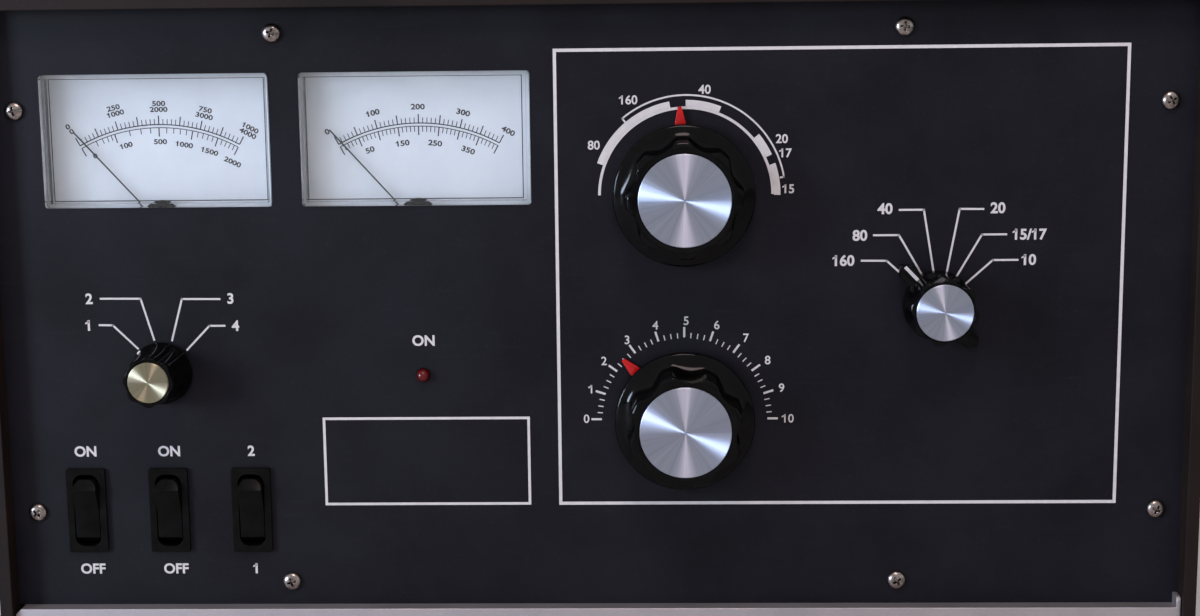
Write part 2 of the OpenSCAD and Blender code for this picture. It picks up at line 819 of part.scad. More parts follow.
// Scallops round a knob between two heights, each cutting `deep` into radius r
module scallops(r, deep, cutter_r, z0, z1) {
    for (i = [0:flutes - 1])
        rotate((i + 0.5) * 360 / flutes + 90)
            translate([r - deep + cutter_r, 0, 0]) rod(cutter_r, z0, z1);
}

module tuning_knob(z, turn) {
    skirt_t = 3;
    skirt_top = 5.4;
    color("#121214") on_panel(tune_x, z) translate([0, 0, knob_gap]) rotate(turn)
        difference() {
            rotate_extrude() polygon([
                [shaft_r + run_fit, 0], [skirt_r, 0], [skirt_r, skirt_t],
                [flute_r - 0.6, skirt_top], [flute_r, knob_h - 1], [flute_r - 1, knob_h],
                [shaft_r + run_fit, knob_h]
            ]);
            scallops(flute_r, 2.5, flute_r * 0.52, skirt_top, knob_h + cut);
            rod(insert_r + slip_gap, knob_h - insert_seat, knob_h + cut);
        }
}

module tuning_insert(z) {
    color("#c9cacb") on_panel(tune_x, z)
        rod(insert_r, knob_front - insert_t, knob_front);
}

module tuning_shaft(z) {
    color("#b5a071") on_panel(tune_x, z)
        rod(shaft_r, -drive_back + 4, knob_front - insert_t);
}

module tuning_pointer(z, rest) {
    hub_r = 9;
    color("#c8231f") on_panel(tune_x, z) rotate(rest) difference() {
        union() {
            rod(hub_r, pointer_gap, pointer_gap + pointer_t);
            rod(sleeve_r, -sleeve_back, pointer_gap);
            translate([0, 0, pointer_gap]) linear_extrude(pointer_t) polygon([
                [-2.4, hub_r - 3], [2.4, hub_r - 3], [2.25, pointer_r - 6], [0.6, pointer_r],
                [-0.6, pointer_r], [-2.25, pointer_r - 6]
            ]);
        }
        rod(shaft_r + run_fit, -sleeve_back - cut, knob_gap);
    }
}

// Housings of the two reduction drives, alike
module reduction_drives() {
    color("#a8a9a6") for (z = [plate_z, load_z]) on_panel(tune_x, z) difference() {
        union() {
            rod(drive_r + 4, -mount_t - 2, -mount_t);
            rod(drive_r, -drive_back, -mount_t);
        }
        rod(sleeve_r + run_fit, -drive_back - cut, -mount_t + cut);
    }
}

// End plates, tie rods and fixed vanes of a variable capacitor
module cap_frame(z) {
    corner = cap_half - 5;
    color("#b7b8b8") on_panel(tune_x, z) difference() {
        union() {
            for (d = [cap_front, cap_back])
                translate([-cap_half, -cap_half, -d - cap_plate])
                    cube([2 * cap_half, 2 * cap_half, cap_plate]);
            for (sx = [-1, 1], sy = [-1, 1])
                translate([sx * corner, sy * corner]) rod(2.5, -cap_end, -cap_front);
            for (i = [0:vane_n])
                translate([0, 0, -cap_first - i * vane_pitch]) linear_extrude(vane_t)
                    difference() {
                        translate([-corner - 1, 0]) square([2 * corner + 2, corner + 1]);
                        circle(r = shaft_r + 5);
                    }
        }
        rod(shaft_r + run_fit, -cap_end - cut, -cap_front + cut);
    }
}

// Shaft, collar and half-round vanes of a variable capacitor
module cap_rotor(z, rest) {
    color("#d0d1d1") on_panel(tune_x, z) rotate(rest) {
        rod(shaft_r, -cap_end - 2, -sleeve_back);
        rod(sleeve_r, -sleeve_back - 3, -sleeve_back);
        for (i = [0:vane_n - 1])
            translate([0, 0, -cap_first - (i + 0.5) * vane_pitch]) linear_extrude(vane_t) {
                intersection() {
                    circle(r = vane_r);
                    translate([0, -vane_r]) square([vane_r, 2 * vane_r]);
                }
                circle(r = shaft_r + 2);
            }
    }
}

module plate_knob() {
    tuning_knob(plate_z, plate_flute_turn);
}

module load_knob() {
    tuning_knob(load_z, load_flute_turn);
}

module plate_knob_insert() {
    tuning_insert(plate_z);
}

module load_knob_insert() {
    tuning_insert(load_z);
}

module plate_knob_shaft() {
    tuning_shaft(plate_z);
}

module load_knob_shaft() {
    tuning_shaft(load_z);
}

module plate_pointer() {
    tuning_pointer(plate_z, plate_rest);
}

module load_pointer() {
    tuning_pointer(load_z, load_rest);
}

module plate_cap_frame() {
    cap_frame(plate_z);
}

module load_cap_frame() {
    cap_frame(load_z);
}

module plate_cap_rotor() {
    cap_rotor(plate_z, plate_rest);
}

module load_cap_rotor() {
    cap_rotor(load_z, load_rest);
}

// --- Switch knobs ----------------------------------------------------------------

module band_knob() {
    bar_t = 4.5;
    color("#121214") on_panel(band_x, band_z) translate([0, 0, switch_gap]) rotate(band_rest)
        difference() {
            union() {
                linear_extrude(bar_t) polygon([
                    [-bar_w / 2, -bar_l + 2], [0, -bar_l], [bar_w / 2, -bar_l + 2],
                    [bar_w / 2, bar_l - 3], [0, bar_l], [-bar_w / 2, bar_l - 3]
                ]);
                difference() {
                    rod(band_r, 0, band_h);
                    rotate(-band_flute_turn)
                        scallops(band_r, 1.5, band_r * 0.52, bar_t, band_h + cut);
                }
            }
            rod(shaft_r + run_fit, -cut, band_h);
            rod(band_insert_r + slip_gap, band_h - insert_seat, band_h + cut);
        }
}

module band_knob_insert() {
    color("#c9cacb") on_panel(band_x, band_z)
        rod(band_insert_r, band_seat, band_seat + insert_t);
}

module band_shaft() {
    color("#b5a071") on_panel(band_x, band_z) {
        rod(shaft_r, -wafer_last - 4, band_seat);
        for (i = [0:2])
            rod(7.5, -wafer_first - i * wafer_pitch - wafer_t, -wafer_first - i * wafer_pitch);
    }
}

// Threaded bushing and front plate that hold a rotary switch to the sub-panel
module switch_mount(half) {
    difference() {
        union() {
            rod(shaft_r + 1.5, -mount_t - 1.5, 0.6);
            translate([-half, -half, -mount_t - 1.5]) cube([2 * half, 2 * half, 1.5]);
        }
        rod(shaft_r + run_fit, -mount_t - 2.5, cut);
    }
}

module band_switch() {
    rod_at = wafer_r - 5;
    color("#cfc9b8") on_panel(band_x, band_z) {
        switch_mount(rod_at + 3);
        for (i = [0:2])
            translate([0, 0, -wafer_first - i * wafer_pitch - wafer_t])
                linear_extrude(wafer_t) difference() {
                    circle(r = wafer_r);
                    circle(r = 8);
                }
        for (s = [-1, 1])
            translate([s * rod_at, 0]) rod(2, -wafer_last - 2, -mount_t - 1);
    }
}

module multimeter_knob() {
    color("#121214") on_panel(multi_x, multi_z) translate([0, 0, switch_gap])
        rotate(multi_rest)
        difference() {
            rotate_extrude() polygon([
                [shaft_r + run_fit, 0], [multi_base_r, 0], [multi_base_r, 2.5],
                [multi_r, multi_h], [shaft_r + run_fit, multi_h]
            ]);
            scallops(multi_r, 1.1, multi_r * 0.52, 2.5, multi_h + cut);
            rod(multi_insert_r + slip_gap, multi_h - insert_seat, multi_h + cut);
        }
}

module multimeter_knob_insert() {
    color("#cdc4ae") on_panel(multi_x, multi_z)
        rod(multi_insert_r, multi_seat, multi_seat + insert_t);
}

module multimeter_shaft() {
    color("#b5a071") on_panel(multi_x, multi_z) {
        rod(shaft_r, -mount_t - 24, multi_seat);
        rod(7.5, -mount_t - 18, -mount_t - 16);
    }
}

module multimeter_switch() {
    color("#cfc9b8") on_panel(multi_x, multi_z) {
        switch_mount(15);
        translate([0, 0, -mount_t - 18]) linear_extrude(2) difference() {
            circle(r = 16);
            circle(r = 8);
        }
        for (s = [-1, 1]) translate([s * 12, 0]) rod(1.6, -mount_t - 20, -mount_t - 1);
    }
}

// --- Rockers and lamp --------------------------------------------------------------

module rocker(i) {
    top = 5;
    valley = 3.4;
    shoulder = rocker_l - 3.1;
    color("#0f0f11")
        on_panel(rocker_x + i * rocker_pitch, rocker_z) translate([0, 0, rocker_pivot])
            rotate([rocker_tilt, 0, 0]) {
                intersection() {
                    rotate([90, 0, 90]) translate([0, 0, -rocker_w / 2])
                        linear_extrude(rocker_w) polygon([
                            [-rocker_l + 1, -1.5], [rocker_l - 1, -1.5], [rocker_l, 1.8],
                            [shoulder, top], [0, valley], [-shoulder, top], [-rocker_l, 1.8]
                        ]);
                    translate([0, 0, -cut - 1]) linear_extrude(top + 2 * cut + 1)
                        round_rect(rocker_w, 2 * rocker_l, 3.4);
                }
                rotate([0, 90, 0]) rod(pin_r, -rocker_w / 2 - 1.2, rocker_w / 2 + 1.2);
            }
}

module rocker_power() {
    rocker(0);
}

module rocker_standby() {
    rocker(1);
}

module rocker_mode() {
    rocker(2);
}

module switch_bodies() {
    body_w = bezel_w - 2;
    body_h = bezel_h - 2;
    color("#161618")
        for (i = [0:2])
            on_panel(rocker_x + i * rocker_pitch, rocker_z) difference() {
                union() {
                    linear_extrude(bezel_t) round_rect(bezel_w, bezel_h, 0.8);
                    translate([-body_w / 2, -body_h / 2, -20]) cube([body_w, body_h, 20]);
                }
                translate([0, 0, -8]) linear_extrude(8 + bezel_t + cut)
                    round_rect(rocker_w + 2 * seat_gap, 2 * rocker_l + 2, 3.4);
                translate([0, 0, rocker_pivot]) rotate([0, 90, 0])
                    rod(pin_r + run_fit, -rocker_w / 2 - 1.3, rocker_w / 2 + 1.3);
            }
}

module indicator_lamp() {
    color("#7a0f12") on_panel(lamp_x, lamp_z) {
        rod(lamp_r, -mount_t - 3, 0.7);
        translate([0, 0, 0.7]) intersection() {
            sphere(r = lamp_r);
            rod(lamp_r, 0, lamp_r);
        }
        rod(lamp_r + 0.6, -mount_t - 1, -mount_t);
    }
}

// --- Tank coil and choke ---------------------------------------------------------------

coil_half_turns = 2 * coil_turns + 1;
coil_steps = coil_half_turns * coil_rings / 2;

// Places along the coil, each with its angle round the coil's axis: in from the plate
// capacitor at the top, round the turns, and out to the band switch at the bottom
coil_path = concat(
    [[coil_start_x, cap_end + seat_gap, 0]],
    [[coil_start_x, coil_depth - 2 * coil_tube_r, 0]],
    [for (i = [0:coil_steps]) let (a = i * 360 / coil_rings)
        [coil_start_x + (band_x - coil_start_x) * i / coil_steps,
         coil_depth + coil_r * sin(a), a]],
    [[band_x, coil_depth - 2 * coil_tube_r, 180 * coil_half_turns]],
    [[band_x, wafer_last + seat_gap, 180 * coil_half_turns]]
);

// The middle of the tube at a place of the path, in the part's axes
function coil_point(p) = [p[0], panel_y + p[1], coil_z + coil_r * cos(p[2])];

// A ring of points round the tube at a place of the path
function coil_ring(p) = [
    for (k = [0:coil_sides - 1]) let (b = k * 360 / coil_sides)
        coil_point(p) + coil_tube_r * [sin(b), cos(b) * sin(p[2]), cos(b) * cos(p[2])]
];

// The least gap between two places of the tube that lie half a turn or more apart
function coil_gap(pts) = min([
    for (i = [0:len(pts) - 1], j = [i + coil_rings / 2:1:len(pts) - 1])
        norm(pts[i] - pts[j])
]) - 2 * coil_tube_r;

module tank_coil() {
    pts = [for (p = coil_path) coil_point(p)];
    n = len(coil_path);
    echo(least_gap_of_coil = coil_gap(pts));
    color("#b8734a") polyhedron(
        points = [for (p = coil_path) each coil_ring(p)],
        faces = concat(
            [[for (k = [0:coil_sides - 1]) k]],
            [for (i = [0:n - 2], k = [0:coil_sides - 1]) let (m = (k + 1) % coil_sides)
                each [
                    [i * coil_sides + k, (i + 1) * coil_sides + k, (i + 1) * coil_sides + m],
                    [i * coil_sides + k, (i + 1) * coil_sides + m, i * coil_sides + m]
                ]],
            [[for (k = [coil_sides - 1:-1:0]) (n - 1) * coil_sides + k]]
        )
    );
}

module rf_choke() {
    color("#c9b98f") translate([tube_x - choke_out, panel_y + tube_depth, floor_z]) {
        rod(choke_r + 5, 0, 5);
        rod(choke_r, 0, choke_h);
        rod(choke_r + 2, 14, choke_h - 12);
        rod(choke_r + 3, choke_h - 8, choke_h - 4);
    }
}

// --- Tube, socket, chimney and blower -----------------------------------------------------

module at_tube(z = 0) {
    translate([tube_x, panel_y + tube_depth, z]) children();
}

module air_box() {
    color("#bfc0c0") at_tube() difference() {
        slab(-airbox_half, airbox_half, -airbox_half, airbox_half, floor_z, airbox_top);
        slab(-airbox_half + sheet_t, airbox_half - sheet_t, -airbox_half + sheet_t,
             airbox_half - sheet_t, floor_z - cut, airbox_top - sheet_t);
        rod(socket_in + 5 + slip_gap, floor_z, airbox_top + cut);
        for (i = [0:11])
            rotate(i * 30) translate([(socket_in + 10 + chimney_r) / 2, 0])
                rod(4, airbox_top - sheet_t - cut, airbox_top + cut);
        slab(blower_x - tube_x + blower_wall, blower_x - tube_x + blower_w - blower_wall,
             airbox_half - sheet_t - cut, airbox_half + cut,
             floor_z + blower_wall, floor_z + blower_out_h - blower_wall);
    }
}

module tube_socket() {
    color("#d5d2c8") at_tube(airbox_top) difference() {
        union() {
            rod(socket_in + 10, 0, socket_h);
            rod(socket_in + 5, -sheet_t - 2, 0);
        }
        rod(socket_in, -sheet_t - 3, socket_h + cut);
    }
}

module amplifier_tube() {
    seat = airbox_top + socket_h;
    anode_z = seat + 34;
    color("#d8d4cc") at_tube() {
        rod(socket_in - 0.3, airbox_top - 10, seat);
        rod(socket_in + 6, seat, seat + 6);
        rod(socket_in + 3, seat, anode_z);
        difference() {
            rod(anode_r, anode_z, anode_z + anode_h);
            for (i = [0:23])
                rotate(i * 15) translate([anode_r * 0.5, -0.7, anode_z - cut])
                    cube([anode_r * 0.42, 1.4, anode_h + 2 * cut]);
        }
        rod(10, anode_z, anode_z + anode_h + 10);
    }
}

module tube_chimney() {
    color("#e6e2d6", 0.6) at_tube(airbox_top) difference() {
        rod(chimney_out, 0, chimney_h);
        rod(chimney_r, -cut, chimney_h + cut);
    }
}

// Blower parts are drawn along +X from the housing's motor side
module at_blower() {
    translate([blower_x, panel_y + blower_depth, blower_z]) rotate([90, 0, 90]) children();
}

module blower_outline(grow = 0) {
    circle(r = blower_r + grow);
    translate([-blower_depth + airbox_back, -blower_r - grow])
        square([blower_depth - airbox_back, blower_out_h + 2 * grow]);
}

module blower_housing() {
    color("#77797b") at_blower() difference() {
        linear_extrude(blower_w) blower_outline();
        translate([0, 0, blower_wall]) linear_extrude(blower_w - 2 * blower_wall)
            intersection() {
                blower_outline(-blower_wall);
                translate([-300, -blower_r + blower_wall]) square([600, 300]);
            }
        translate([airbox_back - blower_depth - cut, -blower_r + blower_wall, blower_wall])
            cube([2 * cut, blower_out_h - 2 * blower_wall, blower_w - 2 * blower_wall]);
        rod(shaft_r + 4, -cut, blower_wall + cut);
        rod(wheel_r - 8, blower_w - blower_wall - cut, blower_w + cut);
    }
}

module blower_wheel() {
    back = 5;
    front = blower_w - 5;
    color("#9a9c9e") at_blower() {
        rod(shaft_r, -motor_l * 0.6, back + 6);
        rod(8, back, back + 12);
        rod(wheel_r, back, back + 1.5);
        difference() {
            rod(wheel_r, front - 2, front);
            rod(wheel_r - 6, front - 3, front + 1);
        }
        for (i = [0:blade_n - 1])
            rotate(i * 360 / blade_n) translate([wheel_r - 5.6, -0.5, back + 1])
                cube([5.2, 1, front - back - 2]);
    }
}

module blower_motor() {
    color("#4a4c50") at_blower() difference() {
        union() {
            rod(motor_r, -motor_l, 0);
            rod(8, -motor_l - 3, -motor_l);
        }
        rod(shaft_r + run_fit, -motor_l * 0.6 - 1, cut);
    }
}

// --- Power supply -------------------------------------------------------------------------

module at_transformer() {
    translate([trans_x, panel_y + trans_depth, floor_z]) children();
}

module transformer_core() {
    color("#55565a") at_transformer() difference() {
        slab(-core_w / 2, core_w / 2, 0, core_d, 0, core_h);
        for (s = [-1, 1])
            translate([s * (leg_w / 2 + window_w / 2), 0, 0])
                slab(-window_w / 2, window_w / 2, -cut, core_d + cut, yoke, core_h - yoke);
    }
}

module transformer_windings() {
    half = leg_w / 2 + window_w - seat_gap;
    color("#8a5a2e") at_transformer() difference() {
        translate([0, core_d / 2, yoke + seat_gap])
            linear_extrude(core_h - 2 * yoke - 2 * seat_gap)
                round_rect(2 * half, core_d + 2 * winding_out, 12);
        slab(-leg_w / 2 - seat_gap, leg_w / 2 + seat_gap, -seat_gap, core_d + seat_gap,
             0, core_h);
    }
}

module filter_capacitors() {
    color("#2b4d8c")
        for (i = [0:cans_across - 1], j = [0:1])
            translate([trans_x + (i - (cans_across - 1) / 2) * can_pitch,
                       panel_y + board_depth + can_edge + j * can_pitch,
                       floor_z + board_post + board_t]) {
                rod(can_r, 0, can_h - 2);
                rod(can_r - 1.5, 0, can_h);
            }
}

module power_board() {
    half = can_pitch * cans_across / 2 + 6;
    color("#2f6b45") translate([trans_x, panel_y + board_depth, floor_z]) {
        slab(-half, half, 0, board_l, board_post, board_post + board_t);
        for (sx = [-1, 1], y = [board_leg_r + 0.5, board_l - board_leg_r - 0.5])
            translate([sx * (half - 5), y, 0]) rod(board_leg_r, 0, board_post + 0.5);
        for (i = [0:3])
            translate([(i - 1.5) * 30, 5, board_post + board_t]) rotate([0, 90, 0])
                translate([-2.6, 0, -5]) rod(2.6, 0, 10);
    }
}

module control_board() {
    part_l = ctrl_l / 5;
    part_h = 0.3 * ctrl_h;
    leg_in = board_leg_r + 2.5;
    translate([partition_x - sheet_t, panel_y + ctrl_depth, ctrl_low]) color("#2f6b45") {
        slab(-board_post - board_t, -board_post, 0, ctrl_l, 0, ctrl_h);
        for (y = [leg_in, ctrl_l - leg_in], z = [leg_in, ctrl_h - leg_in])
            translate([0, y, z]) rotate([0, -90, 0]) rod(board_leg_r, 0, board_post + 0.5);
        for (i = [0:2])
            translate([-board_post - board_t, part_l * (0.5 + 1.5 * i), ctrl_h * 0.175])
                slab(-12, 0, 0, part_l, 0, part_h);
    }
}

module antenna_relay() {
    color("#c9c9c4") {
        translate([rf_x, rear_in, rf_z - relay_drop]) {
            slab(-relay_w / 2, relay_w / 2, -relay_d, 0, -relay_h, 0);
            slab(-relay_w / 2 - 4, relay_w / 2 + 4, -2, 0, -relay_h - 4, 4);
        }
    }
}

// --- Rear fittings ------------------------------------------------------------------------

module rf_socket() {
    flange_t = 1.6;
    difference() {
        union() {
            linear_extrude(flange_t) round_rect(25, 25, 2);
            rod(rf_r, -sheet_t - 8, flange_t + rf_l);
        }
        rod(rf_r - 2.4, flange_t, flange_t + rf_l + cut);
    }
    difference() {
        rod(rf_pin_r + 1, 0, flange_t + rf_l - 2);
        rod(rf_pin_r, flange_t, flange_t + rf_l);
    }
}

module phono_jack() {
    difference() {
        union() {
            rod(jack_r + 2, 0, 2);
            rod(jack_r, -sheet_t - 5, 9);
        }
        rod(phono_pin_r, 0, 10);
    }
}

module rear_sockets() {
    color("#b9b9b4") {
        for (s = [-1, 1]) on_rear(rf_x + s * rf_pitch / 2, rf_z) rf_socket();
        for (i = [0:2]) on_rear(jack_x - 24 * i, rf_z) phono_jack();
    }
}

module fuse_holders() {
    color("#141416")
        for (i = [0:1])
            on_rear(fuse_x + fuse_pitch * i, gland_z) {
                rod(fuse_r, -sheet_t - fuse_l, 12);
                rod(fuse_r + 2.5, 0, 2.5);
            }
}

module ground_post() {
    color("#c4b98a") on_rear(post_x, post_z) {
        rod(stud_r, -sheet_t - 8, stud_l);
        rod(6.5, 0, 4, $fn = 48);
        translate([0, 0, -sheet_t - 4]) cylinder(r = 6, h = 4, $fn = 6);
    }
}

module wing_nut() {
    seat = 4 + seat_gap;
    color("#c9c9c4") on_rear(post_x, post_z) difference() {
        union() {
            rod(5, seat, seat + 6);
            for (a = [0, 180])
                rotate([90, 0, a]) translate([0, 0, -1]) linear_extrude(2)
                    wing_outline(seat);
        }
        rod(stud_r + run_fit, seat - cut, seat + 20);
    }
}

module wing_outline(seat) {
    translate([3.6, seat + 1]) square([7, 4]);
    translate([10.6, seat + 5.2]) circle(r = 3.6, $fn = 32);
}

module cord_gland() {
    color("#19191b") on_rear(gland_x, gland_z) difference() {
        union() {
            rod(gland_r, -sheet_t - 8, 0);
            rod(13, 0, 4);
            rod(10.5, 0, 12);
            rod(12.5, -sheet_t - 6, -sheet_t);
        }
        rod(gland_bore_r, -sheet_t - 9, 13);
    }
}

cabinet_cover();
case_screws();
chassis_tray();
rubber_feet();
front_panel();
panel_screws();
sub_panel();
rear_panel();
rf_partition();
meter_windows();
meter_cases();
meter_dials();
meter_needle_left();
meter_needle_right();
plate_knob();
plate_knob_insert();
plate_knob_shaft();
plate_pointer();
plate_cap_frame();
plate_cap_rotor();
load_knob();
load_knob_insert();
load_knob_shaft();
load_pointer();
load_cap_frame();
load_cap_rotor();
reduction_drives();
band_knob();
band_knob_insert();
band_shaft();
band_switch();
multimeter_knob();
multimeter_knob_insert();
multimeter_shaft();
multimeter_switch();
rocker_power();
rocker_standby();
rocker_mode();
switch_bodies();
indicator_lamp();
tank_coil();
rf_choke();
amplifier_tube();
air_box();
tube_socket();
tube_chimney();
blower_housing();
blower_wheel();
blower_motor();
transformer_core();
transformer_windings();
filter_capacitors();
power_board();
control_board();
antenna_relay();
rear_sockets();
fuse_holders();
ground_post();
wing_nut();
cord_gland();
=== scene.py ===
"""Dresses the CAD frame of a table-top radio amplifier: its finishes, prints and small parts.

Laid out as an add-on and run as a script. Pieces are drawn in millimetres, seen from the
front: x to the right, y up and z out of the panel towards the viewer. They are placed in the
part's own frame when they are finished.
"""

import json
import math

import bmesh
import bpy
from bpy.props import FloatProperty, FloatVectorProperty, IntProperty, PointerProperty
from mathutils import Matrix, Vector


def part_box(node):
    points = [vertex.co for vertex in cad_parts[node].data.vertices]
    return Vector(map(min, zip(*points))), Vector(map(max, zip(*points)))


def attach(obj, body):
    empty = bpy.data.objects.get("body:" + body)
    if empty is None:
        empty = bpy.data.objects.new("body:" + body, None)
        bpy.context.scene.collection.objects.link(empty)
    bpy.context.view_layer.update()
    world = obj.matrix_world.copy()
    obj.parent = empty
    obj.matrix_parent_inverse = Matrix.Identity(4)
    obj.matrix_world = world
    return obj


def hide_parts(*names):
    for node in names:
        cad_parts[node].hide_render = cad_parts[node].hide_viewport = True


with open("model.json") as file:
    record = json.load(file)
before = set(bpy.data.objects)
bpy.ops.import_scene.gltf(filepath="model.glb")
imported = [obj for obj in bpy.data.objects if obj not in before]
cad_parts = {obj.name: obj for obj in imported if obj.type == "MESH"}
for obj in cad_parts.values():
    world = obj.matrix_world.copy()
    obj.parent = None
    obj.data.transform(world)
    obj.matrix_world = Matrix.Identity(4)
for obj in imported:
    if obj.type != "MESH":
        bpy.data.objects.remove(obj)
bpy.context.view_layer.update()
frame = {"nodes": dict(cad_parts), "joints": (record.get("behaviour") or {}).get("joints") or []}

bl_info = {
    "name": "Radio amplifier dressing",
    "version": (1, 0, 0),
    "blender": (4, 5, 0),
    "location": "3D View > Sidebar > Amplifier",
    "description": "Builds the visible finish of a table-top radio amplifier",
    "category": "Object",
}

MM = 0.001
PANEL_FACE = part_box("front_panel")[0].y
HALF_PANEL = 108 * MM
PANEL_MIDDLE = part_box("front_panel")[0].z + HALF_PANEL
SHARP = math.radians(35)  # Edges that bend more than this aren't shaded round
PRINT_HEIGHT = 0.04  # Of a print on the panel, in millimetres
JOINTS = {joint["name"]: Vector(joint["pos_m"]) for joint in frame["joints"]}


# --- Small helpers ----------------------------------------------------------------------


def linear(colour):
    """The linear RGBA of an sRGB hex colour."""
    parts = [int(colour[i : i + 2], 16) / 255 for i in (1, 3, 5)]
    return tuple(
        p / 12.92 if p <= 0.04045 else ((p + 0.055) / 1.055) ** 2.4 for p in parts
    ) + (1.0,)


def add_node(tree, kind, inputs=None, **settings):
    """Adds a node with its settings. An input is a value, or the socket that feeds it."""
    node = tree.nodes.new(kind)
    for key, value in settings.items():
        setattr(node, key, value)
    for key, value in (inputs or {}).items():
        if isinstance(value, bpy.types.NodeSocket):
            tree.links.new(value, node.inputs[key])
        else:
            node.inputs[key].default_value = value
    return node


def drawn(name, bm):
    """The mesh of a drawing, which is given up."""
    mesh = bpy.data.meshes.new(name)
    bm.to_mesh(mesh)
    bm.free()
    return mesh


def add_object(name, data):
    """A new object in the scene, with its mesh, lamp or other data."""
    piece = bpy.data.objects.new(name, data)
    bpy.context.scene.collection.objects.link(piece)
    return piece


def face_front(bm):
    """Turns every flat face towards the viewer."""
    bm.normal_update()
    bmesh.ops.reverse_faces(bm, faces=[f for f in bm.faces if f.normal.z < 0])


def facing(x, z, out=0.0, turn=0.0):
    """Places a piece drawn in millimetres on the front, `out` ahead of the panel's face."""
    return (
        Matrix.Translation((x, PANEL_FACE - out * MM, z))
        @ Matrix.Rotation(math.radians(90), 4, "X")
        @ Matrix.Rotation(math.radians(turn), 4, "Z")
        @ Matrix.Scale(MM, 4)
    )


def on_panel(x=0.0, y=0.0, out=0.0, turn=0.0):
    """The same, with the place given in millimetres from the panel's middle."""
    return facing(x * MM, PANEL_MIDDLE + y * MM, out, turn)


def finish_piece(name, bm, place, body, finishes, replaces=()):
    """Makes a drawn mesh a piece that rides on a body and wears its finishes."""
    bm.transform(place)
    mesh = drawn(name, bm)
    mesh.shade_smooth()
    mesh.set_sharp_from_angle(angle=SHARP)
    piece = add_object(name, mesh)
    for finish in finishes:
        mesh.materials.append(FINISHES[finish])
    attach(piece, body)
    if replaces:
        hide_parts(*replaces)


def wear(finish, *nodes):
    """Gives CAD nodes their finish."""
    for node in nodes:
        materials = frame["nodes"][node].data.materials
        materials.clear()
        materials.append(FINISHES[finish])


def lathe(bm, profile, steps=96):
    """Spins a profile of (radius, height) points once round z and closes it."""
    verts = [bm.verts.new((r, 0, z)) for r, z in profile]
    edges = [bm.edges.new(pair) for pair in zip(verts, verts[1:])]
    bmesh.ops.spin(
        bm, geom=verts + edges, cent=(0, 0, 0), axis=(0, 0, 1), dvec=(0, 0, 0),
        angle=math.tau, steps=steps, use_merge=True, use_duplicate=False,
    )
    bmesh.ops.remove_doubles(bm, verts=bm.verts, dist=1e-4)
    bmesh.ops.recalc_face_normals(bm, faces=bm.faces)


def soften(bm, edges, offset, segments):
    """Rounds some edges."""
    bmesh.ops.bevel(
        bm, geom=edges, offset=offset, offset_type="OFFSET", segments=segments, profile=0.5,
        affect="EDGES", clamp_overlap=True, material=-1,
    )


def prism(bm, outline, low, high, soft, material=0):
    """A plate with the given outline, its front edges softened."""
    base = bm.faces.new([bm.verts.new((x, y, low)) for x, y in outline])
    grown = bmesh.ops.extrude_face_region(bm, geom=[base])["geom"]
    top = [v for v in grown if isinstance(v, bmesh.types.BMVert)]
    bmesh.ops.translate(bm, verts=top, vec=(0, 0, high - low))
    sides = {f for v in top for f in v.link_faces}
    for face in sides | {base}:
        face.material_index = material
    rim = {e for v in top for e in v.link_edges if all(w in top for w in e.verts)}
    soften(bm, list(rim), soft, 2)
    bmesh.ops.recalc_face_normals(bm, faces=bm.faces)


# --- Printing ---------------------------------------------------------------------------

lettered = {}

# The flag of a one at a size of 1, from its stem's upper right corner
FLAG = ((-0.05, 0), (-0.32, -0.17), (-0.32, -0.27), (-0.05, -0.16))


def figure_mesh(words, weight):
    """The flat mesh of some figures at a size of 1, kept so that it is made only once."""
    if (words, weight) not in lettered:
        curve = bpy.data.curves.new("figures", "FONT")
        curve.body = words
        curve.offset = weight
        curve.fill_mode = "FRONT"
        curve.resolution_u = 4
        holder = add_object("figures", curve)
        bpy.context.view_layer.update()
        graph = bpy.context.evaluated_depsgraph_get()
        lettered[words, weight] = bpy.data.meshes.new_from_object(holder.evaluated_get(graph))
        bpy.data.objects.remove(holder)
        bpy.data.curves.remove(curve)
    return lettered[words, weight]


def figures(bm, rows, height, weight, squeeze=1.0):
    """Prints rows of figures with their middle at x, y, and turned. Their ones have a flag."""
    tall = max(v.co.y for v in figure_mesh("8", 0.0).vertices)
    grow = height / tall
    for words, x, y, *turn in rows:
        mesh = figure_mesh(words, weight)
        across = [v.co.x for v in mesh.vertices]
        before = set(bm.verts)
        bm.from_mesh(mesh)
        for count, letter in enumerate(words, 1):
            if letter == "1":
                right = max(v.co.x for v in figure_mesh(words[:count], weight).vertices)
                bm.faces.new([bm.verts.new((right + fx, tall + fy, 0)) for fx, fy in FLAG])
        bmesh.ops.transform(
            bm,
            verts=[v for v in bm.verts if v not in before],
            matrix=Matrix.Translation((x, y, 0))
            @ Matrix.Rotation(math.radians(sum(turn)), 4, "Z")
            @ Matrix.Diagonal((grow * squeeze, grow, 1, 1))
            @ Matrix.Translation((-(min(across) + max(across)) / 2, -tall / 2, 0)),
        )


def stroke(bm, points, width):
    """Prints a line through some points, with its corners filled."""
    for (ax, ay), (bx, by) in zip(points, points[1:]):
        bmesh.ops.create_grid(
            bm,
            x_segments=1,
            y_segments=1,
            size=0.5,
            matrix=Matrix.Translation(((ax + bx) / 2, (ay + by) / 2, 0))
            @ Matrix.Rotation(math.atan2(by - ay, bx - ax), 4, "Z")
            @ Matrix.Diagonal((math.hypot(bx - ax, by - ay), width, 1, 1)),
        )
    for x, y in points[1:-1]:
        place = Matrix.Translation((x, y, 0))
        bmesh.ops.create_circle(bm, cap_ends=True, segments=12, radius=width / 2, matrix=place)


